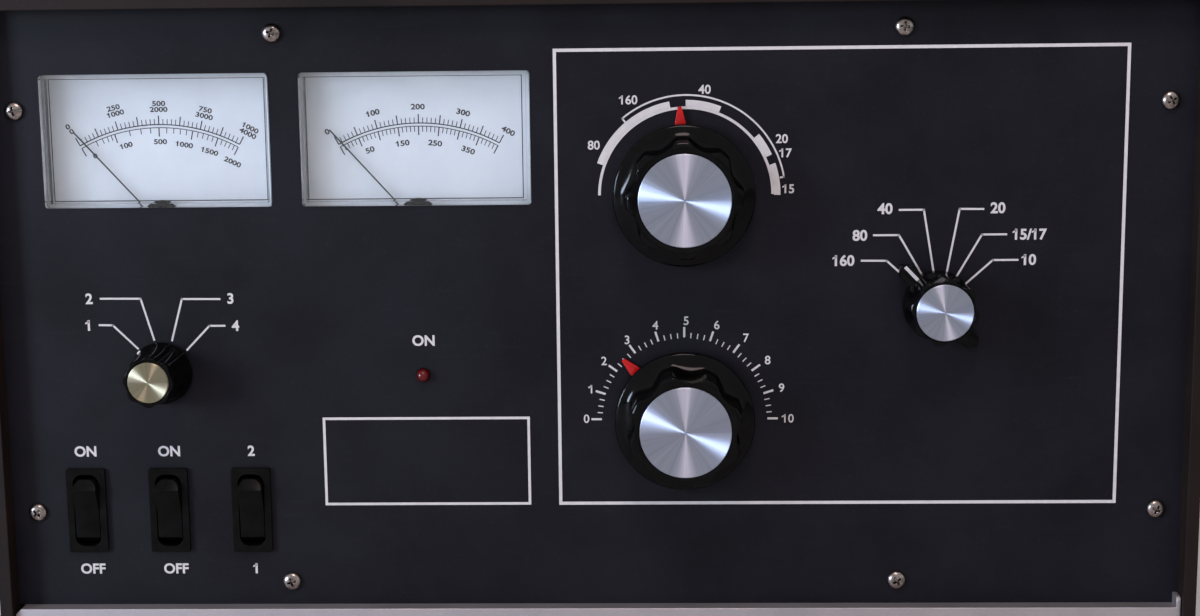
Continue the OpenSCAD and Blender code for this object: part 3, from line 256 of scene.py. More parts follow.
def loop(bm, x0, x1, y0, y1, width):
    """Prints a rectangular frame whose corners are square."""
    half = width / 2
    stroke(bm, [(x0 - half, y0), (x1 + half, y0)], width)
    stroke(bm, [(x0 - half, y1), (x1 + half, y1)], width)
    stroke(bm, [(x0, y0 + half), (x0, y1 - half)], width)
    stroke(bm, [(x1, y0 + half), (x1, y1 - half)], width)


def arc(bm, cx, cy, inner, outer, start, end):
    """Prints a band of a ring between two angles, counted from the right, anticlockwise."""
    a = math.radians(start)
    c, s = math.cos(a), math.sin(a)
    ends = [bm.verts.new((cx + r * c, cy + r * s, 0)) for r in (inner, outer)]
    bmesh.ops.spin(
        bm, geom=ends + [bm.edges.new(ends)], cent=(cx, cy, 0), axis=(0, 0, 1), dvec=(0, 0, 0),
        angle=math.radians(end - start), steps=max(2, int(abs(end - start) / 2)),
        use_merge=False, use_duplicate=False,
    )


def tick(bm, cx, cy, inner, outer, angle, width):
    """Prints a mark that points away from a centre."""
    c, s = math.cos(math.radians(angle)), math.sin(math.radians(angle))
    stroke(bm, [(cx + r * c, cy + r * s) for r in (inner, outer)], width)


def finish_print(name, bm, place, finish):
    """Makes a print a thin flat piece that faces the viewer."""
    bmesh.ops.dissolve_degenerate(bm, dist=1e-4, edges=bm.edges)
    face_front(bm)
    finish_piece(name, bm, place, "cabinet", [finish])


# --- Finishes ---------------------------------------------------------------------------


def start_finish(name):
    """A new material without nodes, and a socket with the object's coordinates."""
    finish = bpy.data.materials.new(name)
    finish.use_nodes = True
    tree = finish.node_tree
    tree.nodes.clear()
    return finish, tree, add_node(tree, "ShaderNodeTexCoord").outputs["Object"]


def end_finish(tree, inputs):
    """Ends a finish with its shader, which takes these inputs, and its output."""
    shader = add_node(tree, "ShaderNodeBsdfPrincipled", inputs)
    add_node(tree, "ShaderNodeOutputMaterial", {"Surface": shader.outputs[0]})


def mottled(tree, place, base, second, patch):
    """Two close tones in cloudy patches, and the patches' own value."""
    cloud = add_node(
        tree,
        "ShaderNodeTexNoise",
        {"Vector": place, "Scale": 1 / (patch * MM), "Detail": 4.0, "Roughness": 0.6},
    )
    spread = add_node(
        tree,
        "ShaderNodeMapRange",
        {"Value": cloud.outputs["Fac"], "From Min": 0.35, "From Max": 0.65},
    )
    tone = add_node(
        tree,
        "ShaderNodeMix",
        {0: spread.outputs[0], 6: linear(base), 7: linear(second)},
        data_type="RGBA",
    )
    return tone.outputs[2], spread.outputs[0]


def plain_finish(
    name, base, second, patch=20.0, grain=0.6, relief=0.02, rough=(0.45, 0.55), metallic=0.0,
    specular=0.5, coat=0.0, edge=0.3, streak=(1.0, 1.0, 1.0),
):
    """A finish in two close tones, with a fine grain and softly rounded edges.

    Patch, grain, relief and edge are in millimetres. Streak squeezes the grain along an axis.
    """
    finish, tree, place = start_finish(name)
    colour, cloud = mottled(tree, place, base, second, patch)
    drawn = add_node(tree, "ShaderNodeMapping", {"Vector": place, "Scale": streak})
    fine = add_node(
        tree,
        "ShaderNodeTexNoise",
        {"Vector": drawn.outputs[0], "Scale": 1 / (grain * MM), "Detail": 2.0},
    )
    gloss = add_node(
        tree,
        "ShaderNodeMapRange",
        {"Value": cloud, "To Min": rough[0], "To Max": rough[1]},
    )
    soft = add_node(tree, "ShaderNodeBevel", {"Radius": edge * MM}, samples=4)
    bump = add_node(
        tree,
        "ShaderNodeBump",
        {
            "Strength": 0.6,
            "Distance": relief * MM,
            "Height": fine.outputs["Fac"],
            "Normal": soft.outputs[0],
        },
    )
    end_finish(
        tree,
        {
            "Base Color": colour,
            "Metallic": metallic,
            "Roughness": gloss.outputs[0],
            "Normal": bump.outputs[0],
            "Specular IOR Level": specular,
            "Coat Weight": coat,
        },
    )
    return finish


def panel_enamel():
    """Matte black enamel, sprayed: a fine orange peel, dust and faint wiping marks."""
    finish, tree, place = start_finish("matte_black_spray_enamel")
    colour, cloud = mottled(tree, place, "#0e0e14", "#15151c", 45.0)
    dust = add_node(
        tree,
        "ShaderNodeTexNoise",
        {"Vector": place, "Scale": 1 / (1.1 * MM), "Detail": 3.0, "Roughness": 0.7},
    )
    specks = add_node(
        tree,
        "ShaderNodeMapRange",
        {"Value": dust.outputs["Fac"], "From Min": 0.58, "From Max": 0.78, "To Max": 0.16},
    )
    dusty = add_node(
        tree,
        "ShaderNodeMix",
        {0: specks.outputs[0], 6: colour, 7: linear("#40414f")},
        data_type="RGBA",
    )
    wiped = add_node(
        tree, "ShaderNodeMapping", {"Vector": place, "Scale": (0.10, 1.0, 2.2)}
    )
    marks = add_node(
        tree,
        "ShaderNodeTexNoise",
        {"Vector": wiped.outputs[0], "Scale": 1 / (2.0 * MM), "Detail": 5.0},
    )
    wiping = add_node(
        tree,
        "ShaderNodeMapRange",
        {"Value": marks.outputs["Fac"], "From Min": 0.62, "From Max": 0.80, "To Max": 0.035},
    )
    handled = add_node(
        tree,
        "ShaderNodeMix",
        {0: wiping.outputs[0], 6: dusty.outputs[2], 7: linear("#5c5d6a")},
        data_type="RGBA",
    )
    peel = add_node(
        tree,
        "ShaderNodeTexNoise",
        {"Vector": place, "Scale": 1 / (0.5 * MM), "Detail": 2.0},
    )
    bump = add_node(
        tree,
        "ShaderNodeBump",
        {"Strength": 0.5, "Distance": 0.02 * MM, "Height": peel.outputs["Fac"]},
    )
    gloss = add_node(
        tree, "ShaderNodeMapRange", {"Value": cloud, "To Min": 0.45, "To Max": 0.56}
    )
    end_finish(
        tree,
        {
            "Base Color": handled.outputs[2],
            "Roughness": gloss.outputs[0],
            "Normal": bump.outputs[0],
            "Specular IOR Level": 0.08,
        },
    )
    return finish


def spun_aluminium(name, base, second):
    """Aluminium turned on a lathe: grooves round the middle draw the light out in rays, and the
    tone changes in sectors round the disc as painted reflection rays.
    """
    finish, tree, _ = start_finish(name)
    round_way = add_node(tree, "ShaderNodeUVMap", uv_map="spun").outputs[0]
    apart = add_node(tree, "ShaderNodeSeparateXYZ", {"Vector": round_way})
    rings = add_node(
        tree,
        "ShaderNodeTexNoise",
        {"W": apart.outputs["Y"], "Scale": 70.0, "Detail": 3.0},
        noise_dimensions="1D",
    )
    # Painted reflection: the tone moves between the base and the darker second colour in sectors
    # round the disc, as light and dark rays.
    painted_ray_sectors = add_node(
        tree,
        "ShaderNodeTexNoise",
        {"W": apart.outputs["X"], "Scale": 30.0, "Detail": 4.0, "Roughness": 0.7},
        noise_dimensions="1D",
    )
    tone = add_node(
        tree,
        "ShaderNodeMix",
        {0: painted_ray_sectors.outputs["Fac"], 6: linear(base), 7: linear(second)},
        data_type="RGBA",
    )
    gloss = add_node(
        tree,
        "ShaderNodeMapRange",
        {"Value": rings.outputs["Fac"], "To Min": 0.42, "To Max": 0.5},
    )
    along = add_node(tree, "ShaderNodeTangent", direction_type="UV_MAP", uv_map="spun")
    bump = add_node(
        tree,
        "ShaderNodeBump",
        {"Strength": 0.25, "Distance": 0.01 * MM, "Height": rings.outputs["Fac"]},
    )
    end_finish(
        tree,
        {
            "Base Color": tone.outputs[2],
            "Metallic": 1.0,
            "Roughness": gloss.outputs[0],
            "Anisotropic": 1.0,
            "Anisotropic Rotation": 0.25,
            "Tangent": along.outputs[0],
            "Normal": bump.outputs[0],
        },
    )
    return finish


def clear_acrylic():
    """Moulded acrylic: clear, polished, with the faintest waviness from the mould."""
    finish, tree, place = start_finish("clear_moulded_acrylic")
    wavy = add_node(
        tree,
        "ShaderNodeTexNoise",
        {"Vector": place, "Scale": 1 / (14 * MM), "Detail": 1.0},
    )
    bump = add_node(
        tree,
        "ShaderNodeBump",
        {"Strength": 0.2, "Distance": 0.02 * MM, "Height": wavy.outputs["Fac"]},
    )
    end_finish(
        tree,
        {
            "Base Color": linear("#fdfeff"),
            "Roughness": 0.03,
            "IOR": 1.49,
            "Transmission Weight": 1.0,
            "Normal": bump.outputs[0],
        },
    )
    return finish


def lamp_lens():
    """Dark red moulded epoxy: glossy, unlit, darker where it is looked at from the side."""
    finish, tree, _ = start_finish("red_epoxy_lens")
    depth = add_node(tree, "ShaderNodeLayerWeight", {"Blend": 0.35})
    tone = add_node(
        tree,
        "ShaderNodeMix",
        {0: depth.outputs["Facing"], 6: linear("#54090c"), 7: linear("#160203")},
        data_type="RGBA",
    )
    end_finish(
        tree,
        {
            "Base Color": tone.outputs[2],
            "Roughness": 0.1,
            "Specular IOR Level": 0.2,
        },
    )
    return finish


def laminated_iron():
    """Varnished iron sheets stacked front to back; the 0.5 mm sheets are drawn 2 mm thick."""
    finish, tree, place = start_finish("varnished_iron_laminations")
    sheets = add_node(
        tree,
        "ShaderNodeTexWave",
        {"Vector": place, "Scale": 1 / (2 * MM) / 3.2, "Distortion": 0.4},
        wave_type="BANDS",
        bands_direction="Y",
    )
    tone = add_node(
        tree,
        "ShaderNodeMix",
        {0: sheets.outputs["Fac"], 6: linear("#3a3b40"), 7: linear("#66666a")},
        data_type="RGBA",
    )
    bump = add_node(
        tree,
        "ShaderNodeBump",
        {"Strength": 0.5, "Distance": 0.2 * MM, "Height": sheets.outputs["Fac"]},
    )
    end_finish(
        tree,
        {
            "Base Color": tone.outputs[2],
            "Metallic": 0.3,
            "Roughness": 0.4,
            "Normal": bump.outputs[0],
            "Coat Weight": 0.3,
        },
    )
    return finish


def make_finishes():
    """Every finish of the object, by the real material's name."""
    made = {
        # Sprayed enamel on sheet steel: a hair of texture, brownish where it is worn
        "cover_enamel": plain_finish(
            "textured_brown_black_enamel", "#120c0b", "#1b1311", patch=45, grain=1.4,
            relief=0.12, rough=(0.5, 0.66), specular=0.1, edge=0.7,
        ),
        # Half-hard sheet aluminium, unpainted: rolling lines and a dull oxide
        "sheet_aluminium": plain_finish(
            "satin_sheet_aluminium", "#9d989b", "#8b878a", patch=30, grain=0.5,
            relief=0.015, rough=(0.42, 0.56), metallic=0.85, edge=0.6,
            streak=(0.05, 1.0, 1.0),
        ),
        # Zinc plate on sheet steel: pale, slightly blue, with a soft spangle
        "zinc_steel": plain_finish(
            "zinc_plated_steel", "#a9abae", "#8d9094", patch=9, grain=0.8,
            relief=0.01, rough=(0.35, 0.5), metallic=0.9, edge=0.3,
        ),
        # Nickel plate dulled by handling
        "nickel_steel": plain_finish(
            "tarnished_nickel_plate", "#8a827e", "#5a524f", patch=1.6, grain=0.25,
            relief=0.01, rough=(0.18, 0.34), metallic=1.0, edge=0.12,
        ),
        # Nickel plate that nobody touches: even and bright
        "bright_nickel": plain_finish(
            "bright_nickel_plate", "#b5b0a8", "#9c978f", patch=14, grain=0.3,
            relief=0.006, rough=(0.22, 0.32), metallic=1.0, edge=0.15,
        ),
        # Heat-blackened steel: an oily satin black
        "black_oxide": plain_finish(
            "black_oxide_steel", "#1a1a1b", "#262524", patch=2, grain=0.3,
            relief=0.01, rough=(0.35, 0.5), metallic=0.5, edge=0.15,
        ),
        # Moulded rubber: matte and slightly bloomed
        "rubber": plain_finish(
            "moulded_black_rubber", "#161616", "#242322", patch=8, grain=0.4,
            relief=0.03, rough=(0.72, 0.88), specular=0.3, edge=0.8,
        ),
        # Polished phenolic: deep black with a gloss that fingers have dulled in patches
        "gloss_phenolic": plain_finish(
            "polished_black_phenolic", "#040405", "#080809", patch=6, grain=0.35,
            relief=0.002, rough=(0.08, 0.15), specular=0.07, edge=0.25,
        ),
        # Moulded nylon, as the rockers and bezels: a satin black
        "satin_black": plain_finish(
            "moulded_black_nylon", "#060606", "#0a0a0a", patch=5, grain=0.3,
            relief=0.006, rough=(0.26, 0.38), specular=0.05, edge=0.35,
        ),
        # Stove enamel on the dial plate: an even, cool white
        "dial_enamel": plain_finish(
            "white_dial_enamel", "#d0d6db", "#cad0d6", patch=25, grain=0.5,
            relief=0.004, rough=(0.5, 0.6), specular=0.2, edge=0.1,
        ),
        # Screen-printing ink: flat, slightly thin at the edges
        "dial_ink": plain_finish(
            "black_dial_ink", "#101012", "#1a1a1d", patch=1.5, grain=0.3,
            relief=0.002, rough=(0.6, 0.7), specular=0.2, edge=0.02,
        ),
        "legend_ink": plain_finish(
            "white_legend_ink", "#c2c2c6", "#bababf", patch=3.0, grain=0.3,
            relief=0.004, rough=(0.5, 0.62), specular=0.25, edge=0.02,
        ),
        # Brushed-on enamel of a needle
        "needle_enamel": plain_finish(
            "black_needle_enamel", "#101012", "#1c1c1e", patch=2, grain=0.3,
            relief=0.004, rough=(0.4, 0.5), specular=0.3, edge=0.05,
        ),
        # Signal red enamel, thick enough to round its edges
        "red_enamel": plain_finish(
            "signal_red_enamel", "#b81214", "#9a0c10", patch=2, grain=0.4,
            relief=0.006, rough=(0.22, 0.32), specular=0.25, edge=0.2,
        ),
        # Turned brass with tool lines
        "brass": plain_finish(
            "turned_brass", "#c2a468", "#a98b52", patch=4, grain=0.3,
            relief=0.01, rough=(0.25, 0.38), metallic=1.0, edge=0.15,
            streak=(1.0, 4.0, 1.0),
        ),
        # Machined and dip-cleaned aluminium
        "machined_aluminium": plain_finish(
            "machined_aluminium", "#c9cacc", "#b3b5b8", patch=12, grain=0.4,
            relief=0.01, rough=(0.3, 0.42), metallic=1.0, edge=0.25,
            streak=(1.0, 1.0, 0.1),
        ),
        # Glazed steatite of switch wafers and coil formers
        "glazed_steatite": plain_finish(
            "glazed_steatite", "#ddd8c9", "#cfc8b6", patch=8, grain=0.8,
            relief=0.01, rough=(0.12, 0.25), coat=0.4, edge=0.3,
        ),
        # Bare copper tube, browned by heat
        "copper": plain_finish(
            "bare_copper_tube", "#c27a52", "#96563a", patch=9, grain=0.5,
            relief=0.01, rough=(0.25, 0.42), metallic=1.0, edge=0.1,
        ),
        # Winding under varnished paper tape: wrap lines 3 mm apart
        "wrapped_winding": plain_finish(
            "varnished_winding_tape", "#9a6c3a", "#7c5228", patch=14, grain=3.0,
            relief=0.25, rough=(0.35, 0.5), coat=0.3, edge=0.8,
            streak=(0.1, 0.1, 1.0),
        ),
        # Shrunk vinyl sleeve round an aluminium can
        "blue_sleeve": plain_finish(
            "blue_vinyl_sleeve", "#26498a", "#1f3d76", patch=10, grain=0.8,
            relief=0.01, rough=(0.28, 0.38), coat=0.2, edge=0.8,
        ),
        # Glass-fibre board under green resist
        "green_board": plain_finish(
            "green_resist_board", "#2b6a44", "#235a39", patch=5, grain=1.2,
            relief=0.03, rough=(0.3, 0.45), coat=0.2, edge=0.15,
        ),
        # Fired ceramic and plated metal of a transmitting tube
        "tube_ceramic": plain_finish(
            "fired_white_ceramic", "#dcd8d0", "#cbc6bc", patch=10, grain=0.6,
            relief=0.02, rough=(0.35, 0.5), edge=0.4,
        ),
        # Heat-proof resin sheet, slightly translucent
        "chimney_sheet": plain_finish(
            "white_heatproof_sheet", "#e6e1d6", "#dad4c6", patch=20, grain=0.8,
            relief=0.02, rough=(0.35, 0.5), edge=0.3,
        ),
        # Hammered grey enamel of a motor shell
        "motor_enamel": plain_finish(
            "hammered_grey_enamel", "#4b4e53", "#3c3f44", patch=3, grain=1.8,
            relief=0.1, rough=(0.3, 0.42), coat=0.3, edge=0.8,
        ),
        # Polycarbonate case of a sealed relay
        "relay_case": plain_finish(
            "cream_polycarbonate", "#d6d5cc", "#c9c8bf", patch=10, grain=0.6,
            relief=0.008, rough=(0.2, 0.3), coat=0.2, edge=0.5,
        ),
        "panel_enamel": panel_enamel(),
        # Each spun finish's second colour is the dark tone of its painted reflection rays.
        "spun_aluminium": spun_aluminium("spun_aluminium", "#a6abbb", "#7c8292"),
        "warm_spun_aluminium": spun_aluminium(
            "gold_tinted_spun_aluminium", "#999380", "#6c6750"
        ),
        "acrylic": clear_acrylic(),
        "lamp_lens": lamp_lens(),
        "iron_laminations": laminated_iron(),
    }
    return made


FINISHES = {}


# --- Settings ---------------------------------------------------------------------------


class AmplifierPrintSettings(bpy.types.PropertyGroup):
    frame_line: FloatProperty(
        name="Frame line", description="Width of the white frame's line",
        default=1.15 * MM, unit="LENGTH",
    )
    box_line: FloatProperty(
        name="Name box line", description="Width of the bare name box's line",
        default=0.95 * MM, unit="LENGTH",
    )
    leader_line: FloatProperty(
        name="Leader line", description="Width of the lines beside the switch knobs",
        default=0.7 * MM, unit="LENGTH",
    )
    figure_height: FloatProperty(
        name="Figure height", description="Height of the figures round the tuning knobs",
        default=3.0 * MM, unit="LENGTH",
    )
    switch_height: FloatProperty(
        name="Switch figure height", description="Height of the figures at the switches",
        default=3.6 * MM, unit="LENGTH",
    )


class AmplifierKnobSettings(bpy.types.PropertyGroup):
    flutes: IntProperty(
        name="Flutes", description="Number of flutes round each knob", default=8, min=4
    )
    flute_depth: FloatProperty(
        name="Flute depth", description="Depth of a tuning knob's flutes",
        default=2.5 * MM, unit="LENGTH",
    )
    plate_turn: FloatProperty(
        name="Plate knob turn", description="Turn of the upper tuning knob's flutes",
        default=math.radians(2), subtype="ANGLE",
    )
    load_turn: FloatProperty(
        name="Load knob turn", description="Turn of the lower tuning knob's flutes",
        default=math.radians(18), subtype="ANGLE",
    )
    plate_rest: FloatProperty(
        name="Plate pointer", description="Angle of the upper pointer, left of upright",
        default=math.radians(2.5), subtype="ANGLE",
    )
    load_rest: FloatProperty(
        name="Load pointer", description="Angle of the lower pointer, left of upright",
        default=math.radians(45), subtype="ANGLE",
    )
    band_rest: FloatProperty(
        name="Band pointer", description="Angle of the band knob, left of upright",
        default=math.radians(43), subtype="ANGLE",
    )
    meter_rest: FloatProperty(
        name="Meter switch", description="Angle of the meter-switch knob, left of upright",
        default=math.radians(41), subtype="ANGLE",
    )


class AmplifierStageSettings(bpy.types.PropertyGroup):
    window_light: FloatProperty(
        name="Window light", description="Power of the cool lamp at the left",
        default=22.0, unit="POWER",
    )
    glint: FloatProperty(
        name="Window glint", description="Power of the window as polished pieces mirror it",
        default=60.0, unit="POWER",
    )
    ceiling_light: FloatProperty(
        name="Ceiling light", description="Power of the warm lamp above",
        default=6.5, unit="POWER",
    )
    room_light: FloatProperty(
        name="Room light", description="Strength of the light from all round",
        default=0.35, min=0.0,
    )
    floor_colour: FloatVectorProperty(
        name="Floor", description="Colour of the floor", subtype="COLOR", size=4,
        default=linear("#f1f0ee"), min=0.0, max=1.0,
    )


def mm(length):
    """A length in millimetres, the unit that pieces are drawn in."""
    return length / MM


# --- Front panel ------------------------------------------------------------------------


class AMPLIFIER_OT_cabinet(bpy.types.Operator):
    """Finish the cover, the tray, the panels and the feet"""

    bl_idname = "amplifier.cabinet"
    bl_label = "Cabinet finishes"

    def execute(self, context):
        wear("cover_enamel", "cabinet_cover", "rear_panel")
        wear("panel_enamel", "front_panel")
        wear("sheet_aluminium", "chassis_tray")
        wear("zinc_steel", "sub_panel", "rf_partition")
        wear("black_oxide", "case_screws")
        wear("rubber", "rubber_feet")
        return {"FINISHED"}


class AMPLIFIER_OT_legends(bpy.types.Operator):
    """Print the white frame, scales, leader lines and figures on the panel"""

    bl_idname = "amplifier.legends"
    bl_label = "Panel legends"

    def execute(self, context):
        sizes = context.scene.amplifier_print
        self.frames(mm(sizes.frame_line), mm(sizes.box_line))
        self.plate_scale(mm(sizes.figure_height))
        self.load_scale(mm(sizes.figure_height))
        self.band_scale(mm(sizes.leader_line), mm(sizes.switch_height))
        self.meter_scale(mm(sizes.leader_line), mm(sizes.switch_height))
        self.switch_words(mm(sizes.switch_height))
        return {"FINISHED"}

    def finish(self, name, bm):
        finish_print(name, bm, on_panel(out=PRINT_HEIGHT), "legend_ink")

    def frames(self, wide, narrow):
        bm = bmesh.new()
        loop(bm, -11.3, 187.7, -70.3, 92.3, wide)
        loop(bm, -96.5, -22.5, -70.3, -38.6, narrow)
        self.finish("white_frames", bm)

    def plate_scale(self, height):
        cx, cy = 34.4, 41.5
        bm = bmesh.new()
        arc(bm, cx, cy, 30.0, 30.95, 0, 180)
        for start, end in ((100, 160), (68, 90), (24.8, 39.5), (-0.6, 19.2)):
            arc(bm, cx, cy, 30.9, 33.2, start, end)
        arc(bm, cx, cy, 34.6, 35.2, 9.6, 129.9)
        tick(bm, cx, cy, 33.2, 35.2, 129.6, 0.6)
        tick(bm, cx, cy, 33.4, 35.2, 9.9, 0.6)
        rows = (
            ("40", 41.0, 78.3), ("160", 14.7, 74.9), ("80", 2.1, 59.2),
            ("20", 68.0, 60.9), ("17", 69.7, 55.9), ("15", 70.7, 43.3),
        )
        figures(bm, rows, height, 0.02)
        self.finish("plate_scale", bm)

    def load_scale(self, height):
        cx, cy = 33.6, -39.2
        bm = bmesh.new()
        for i in range(41):
            long = i % 4 == 0
            tick(
                bm, cx, cy, 29.7 if long else 29.4, 33.4 if long else 31.3,
                180 - i * 4.5, 0.75 if long else 0.38,
            )
        places = (
            (-1.6, -39.0), (0.3, -28.2), (4.9, -17.9), (13.2, -10.3), (23.3, -5.1),
            (34.3, -3.5), (45.2, -5.1), (55.6, -9.8), (63.3, -17.9), (68.3, -28.0),
            (71.0, -39.2),
        )
        rows = [(str(value), x, y) for value, (x, y) in enumerate(places)]
        figures(bm, rows, height, 0.012)
        self.finish("load_scale", bm)

    def band_scale(self, width, height):
        bm = bmesh.new()
        for points in (
            [(109.1, 35.5), (117.9, 35.5), (121.8, 12.7)],
            [(100.2, 26.6), (109.3, 26.6), (117.4, 12.8)],
            [(96.0, 17.6), (105.1, 17.5), (110.0, 13.1)],
            [(139.0, 35.6), (130.4, 35.7), (126.0, 11.5)],
            [(147.2, 26.6), (138.4, 26.6), (129.0, 10.4)],
            [(151.4, 17.5), (142.4, 17.5), (132.9, 9.0)],
        ):
            stroke(bm, points, width)
        rows = (
            ("40", 104.3, 36.0), ("80", 95.6, 26.6), ("160", 90.3, 17.7),
            ("20", 143.8, 36.0), ("15/17", 155.5, 26.6), ("10", 155.4, 17.6),
        )
        figures(bm, rows, height, 0.03)
        self.finish("band_scale", bm)

    def meter_scale(self, width, height):
        bm = bmesh.new()
        for points in (
            [(-175.7, 5.8), (-161.0, 5.7), (-156.7, -9.6)],
            [(-176.6, -3.8), (-171.5, -3.9), (-162.6, -12.7)],
            [(-132.2, 5.4), (-146.1, 5.5), (-150.4, -9.8)],
            [(-130.8, -4.3), (-136.6, -4.3), (-145.2, -13.2)],
        ):
            stroke(bm, points, width)
        rows = (
            ("2", -179.6, 5.8), ("1", -180.2, -3.9), ("3", -128.6, 5.6), ("4", -127.2, -4.3),
        )
        figures(bm, rows, height, 0.03)
        self.finish("meter_switch_scale", bm)

    def switch_words(self, height):
        bm = bmesh.new()
        rows = (
            ("ON", -184.0, -50.3), ("OFF", -183.5, -94.4),
            ("ON", -153.4, -50.3), ("OFF", -152.8, -94.4),
            ("2", -123.4, -50.3), ("1", -123.2, -94.4), ("ON", -59.7, -10.1),
        )
        figures(bm, rows, height, 0.03)
        self.finish("switch_words", bm)


class AMPLIFIER_OT_panel_screws(bpy.types.Operator):
    """Model the pan-head screws with their cross recesses"""

    bl_idname = "amplifier.panel_screws"
    bl_label = "Panel screws"

    def execute(self, context):
        bm = bmesh.new()
        places = [(sx * 110.2, sy * 99.3) for sx in (-1, 1) for sy in (-1, 1)]
        places += [(sx * 202.6, sy * 73.0) for sx in (-1, 1) for sy in (-1, 1)]
        head = self.head()
        for count, (x, y) in enumerate(places):
            before = set(bm.verts)
            bm.from_mesh(head)
            bmesh.ops.transform(
                bm,
                verts=[v for v in bm.verts if v not in before],
                matrix=Matrix.Translation((x, y, 0))
                @ Matrix.Rotation(math.radians(17 + 53 * count), 4, "Z"),
            )
        finish_piece(
            "panel_screw_heads", bm, on_panel(), "cabinet",
            ["nickel_steel"], ["panel_screws"],
        )
        return {"FINISHED"}

    def head(self):
        """One screw, its cross cut with two crossing wedges."""
        bm = bmesh.new()
        profile = [(0, -5.6), (1.9, -5.6), (1.9, 0), (3.3, 0), (3.4, 0.3), (3.3, 0.75)]
        profile += [(3.05, 1.15), (2.6, 1.55), (1.9, 1.88), (1.0, 2.06), (0, 2.1)]
        lathe(bm, profile, 40)
        body = add_object("screw", drawn("screw", bm))
        bm = bmesh.new()
        for turn in (0, 90):
            wedge = bmesh.ops.create_cube(bm, size=1.0)["verts"]
            low = [v for v in wedge if v.co.z < 0]
            bmesh.ops.scale(bm, verts=low, vec=(0.45, 0.5, 1.0))
            bmesh.ops.transform(
                bm,
                verts=wedge,
                matrix=Matrix.Translation((0, 0, 1.5))
                @ Matrix.Rotation(math.radians(turn), 4, "Z")
                @ Matrix.Diagonal((4.0, 0.95, 2.2, 1)),
            )
        cutter = add_object("recess", drawn("recess", bm))
        cut = body.modifiers.new("recess", "BOOLEAN")
        cut.object = cutter
        cut.operation = "DIFFERENCE"
        cut.solver = "EXACT"
        cut.use_self = True
        bpy.context.view_layer.update()
        graph = bpy.context.evaluated_depsgraph_get()
        made = bpy.data.meshes.new_from_object(body.evaluated_get(graph))
        bpy.data.objects.remove(body)
        bpy.data.objects.remove(cutter)
        return made


# --- Meters -----------------------------------------------------------------------------


class AMPLIFIER_OT_meters(bpy.types.Operator):
    """Finish the meters and print their scales"""

    bl_idname = "amplifier.meters"
    bl_label = "Meters"

    # The dials' middles from the panel's middle, the upper arc's radius, the gap to the lower
    # arc, half the arcs' sweep in degrees and a dark line round each dial, which is a painted
    # shadow of the gap at the dial's edge
    LEFT = (-152.9, 61.9)
    RIGHT = (-60.9, 61.9)
    ARC = 60.1
    GAP = 1.1
    SWEEP = 28.6
    EDGE = (-39.9, 37.3, -21.9, 21.8)

    def execute(self, context):
        wear("acrylic", "meter_windows")
        wear("satin_black", "meter_cases")
        wear("dial_enamel", "meter_dials")
        wear("needle_enamel", "meter_needle_left", "meter_needle_right")
        self.left_dial()
        self.right_dial()
        return {"FINISHED"}

    def finish(self, name, bm, middle):
        depth = mm(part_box("meter_dials")[0].y - PANEL_FACE)
        finish_print(
            name, bm, on_panel(*middle, out=-depth + 0.03), "dial_ink"
        )

    def mark(self, bm, middle, base, share, long):
        """A mark that stands on an arc, or hangs from it, at a share of the sweep."""
        reach = (3.2 if long else 2.0) * (1 if base == self.ARC else -1)
        inner, outer = sorted((base, base + reach))
        angle = 90 + self.SWEEP * (1 - 2 * share)
        tick(bm, *middle, inner, outer, angle, 0.42 if long else 0.3)

    def arcs(self, bm, middle):
        """A painted shadow line round the dial, the two thin arcs, and the upper scale's marks
        outside them.
        """
        for radius, half in ((self.ARC, 0.2), (self.ARC - self.GAP, 0.15)):
            arc(bm, *middle, radius - half, radius + half, 90 - self.SWEEP, 90 + self.SWEEP)
        # Painted shadow: a thin dark ink line where the gap at the dial plate's edge lies in
        # shade.
        loop(bm, *self.EDGE, 0.35)
        for i in range(41):
            self.mark(bm, middle, self.ARC, i / 40, i % 5 == 0)

    def left_dial(self):
        middle = (-0.9, -54.7)
        bm = bmesh.new()
        self.arcs(bm, middle)
        watts = [*range(0, 100, 20), *range(100, 1000, 100), *range(1000, 2001, 100)]
        for power in watts:
            long = power in (0, 100, 500, 1000, 1500, 2000)
            self.mark(bm, middle, self.ARC - self.GAP, math.sqrt(power / 2000), long)
        rows = (
            ("0", -33.8, 4.9, 28), ("0", -32.5, 3.2, 28), ("250", -17.0, 11.5, 14),
            ("1000", -16.1, 9.5, 14), ("500", -0.6, 12.9, 0), ("2000", -0.7, 10.8, 0),
            ("750", 16.1, 10.5, -14), ("3000", 15.6, 8.3, -14), ("1000", 32.2, 3.8, -28),
            ("4000", 31.0, 2.0, -28), ("0", -24.4, -5.6, 24), ("100", -12.8, -1.9, 14),
            ("500", -0.6, -0.7, 0), ("1000", 8.2, -1.9, -9), ("1500", 17.2, -4.4, -17),
            ("2000", 25.1, -8.2, -25),
        )
        figures(bm, rows, 1.7, 0.03, squeeze=1.3)
        self.finish("left_dial_print_and_gap_shade", bm, self.LEFT)

    def right_dial(self):
        middle = (0.3, -55.0)
        bm = bmesh.new()
        self.arcs(bm, middle)
        for i in range(41):
            self.mark(bm, middle, self.ARC - self.GAP, i / 40, i % 5 == 0)
        rows = (
            ("0", -32.5, 2.3, 28), ("100", -15.7, 8.9, 14), ("200", 0.2, 10.9, 0),
            ("300", 16.4, 8.7, -14), ("400", 32.3, 2.0, -28),
            ("50", -17.3, -4.3, 20), ("150", -5.3, -2.0, 7), ("250", 6.1, -2.1, -7),
            ("350", 17.9, -4.7, -20),
        )
        figures(bm, rows, 1.85, 0.03, squeeze=1.25)
        self.finish("right_dial_print_and_gap_shade", bm, self.RIGHT)


# --- Knobs ------------------------------------------------------------------------------


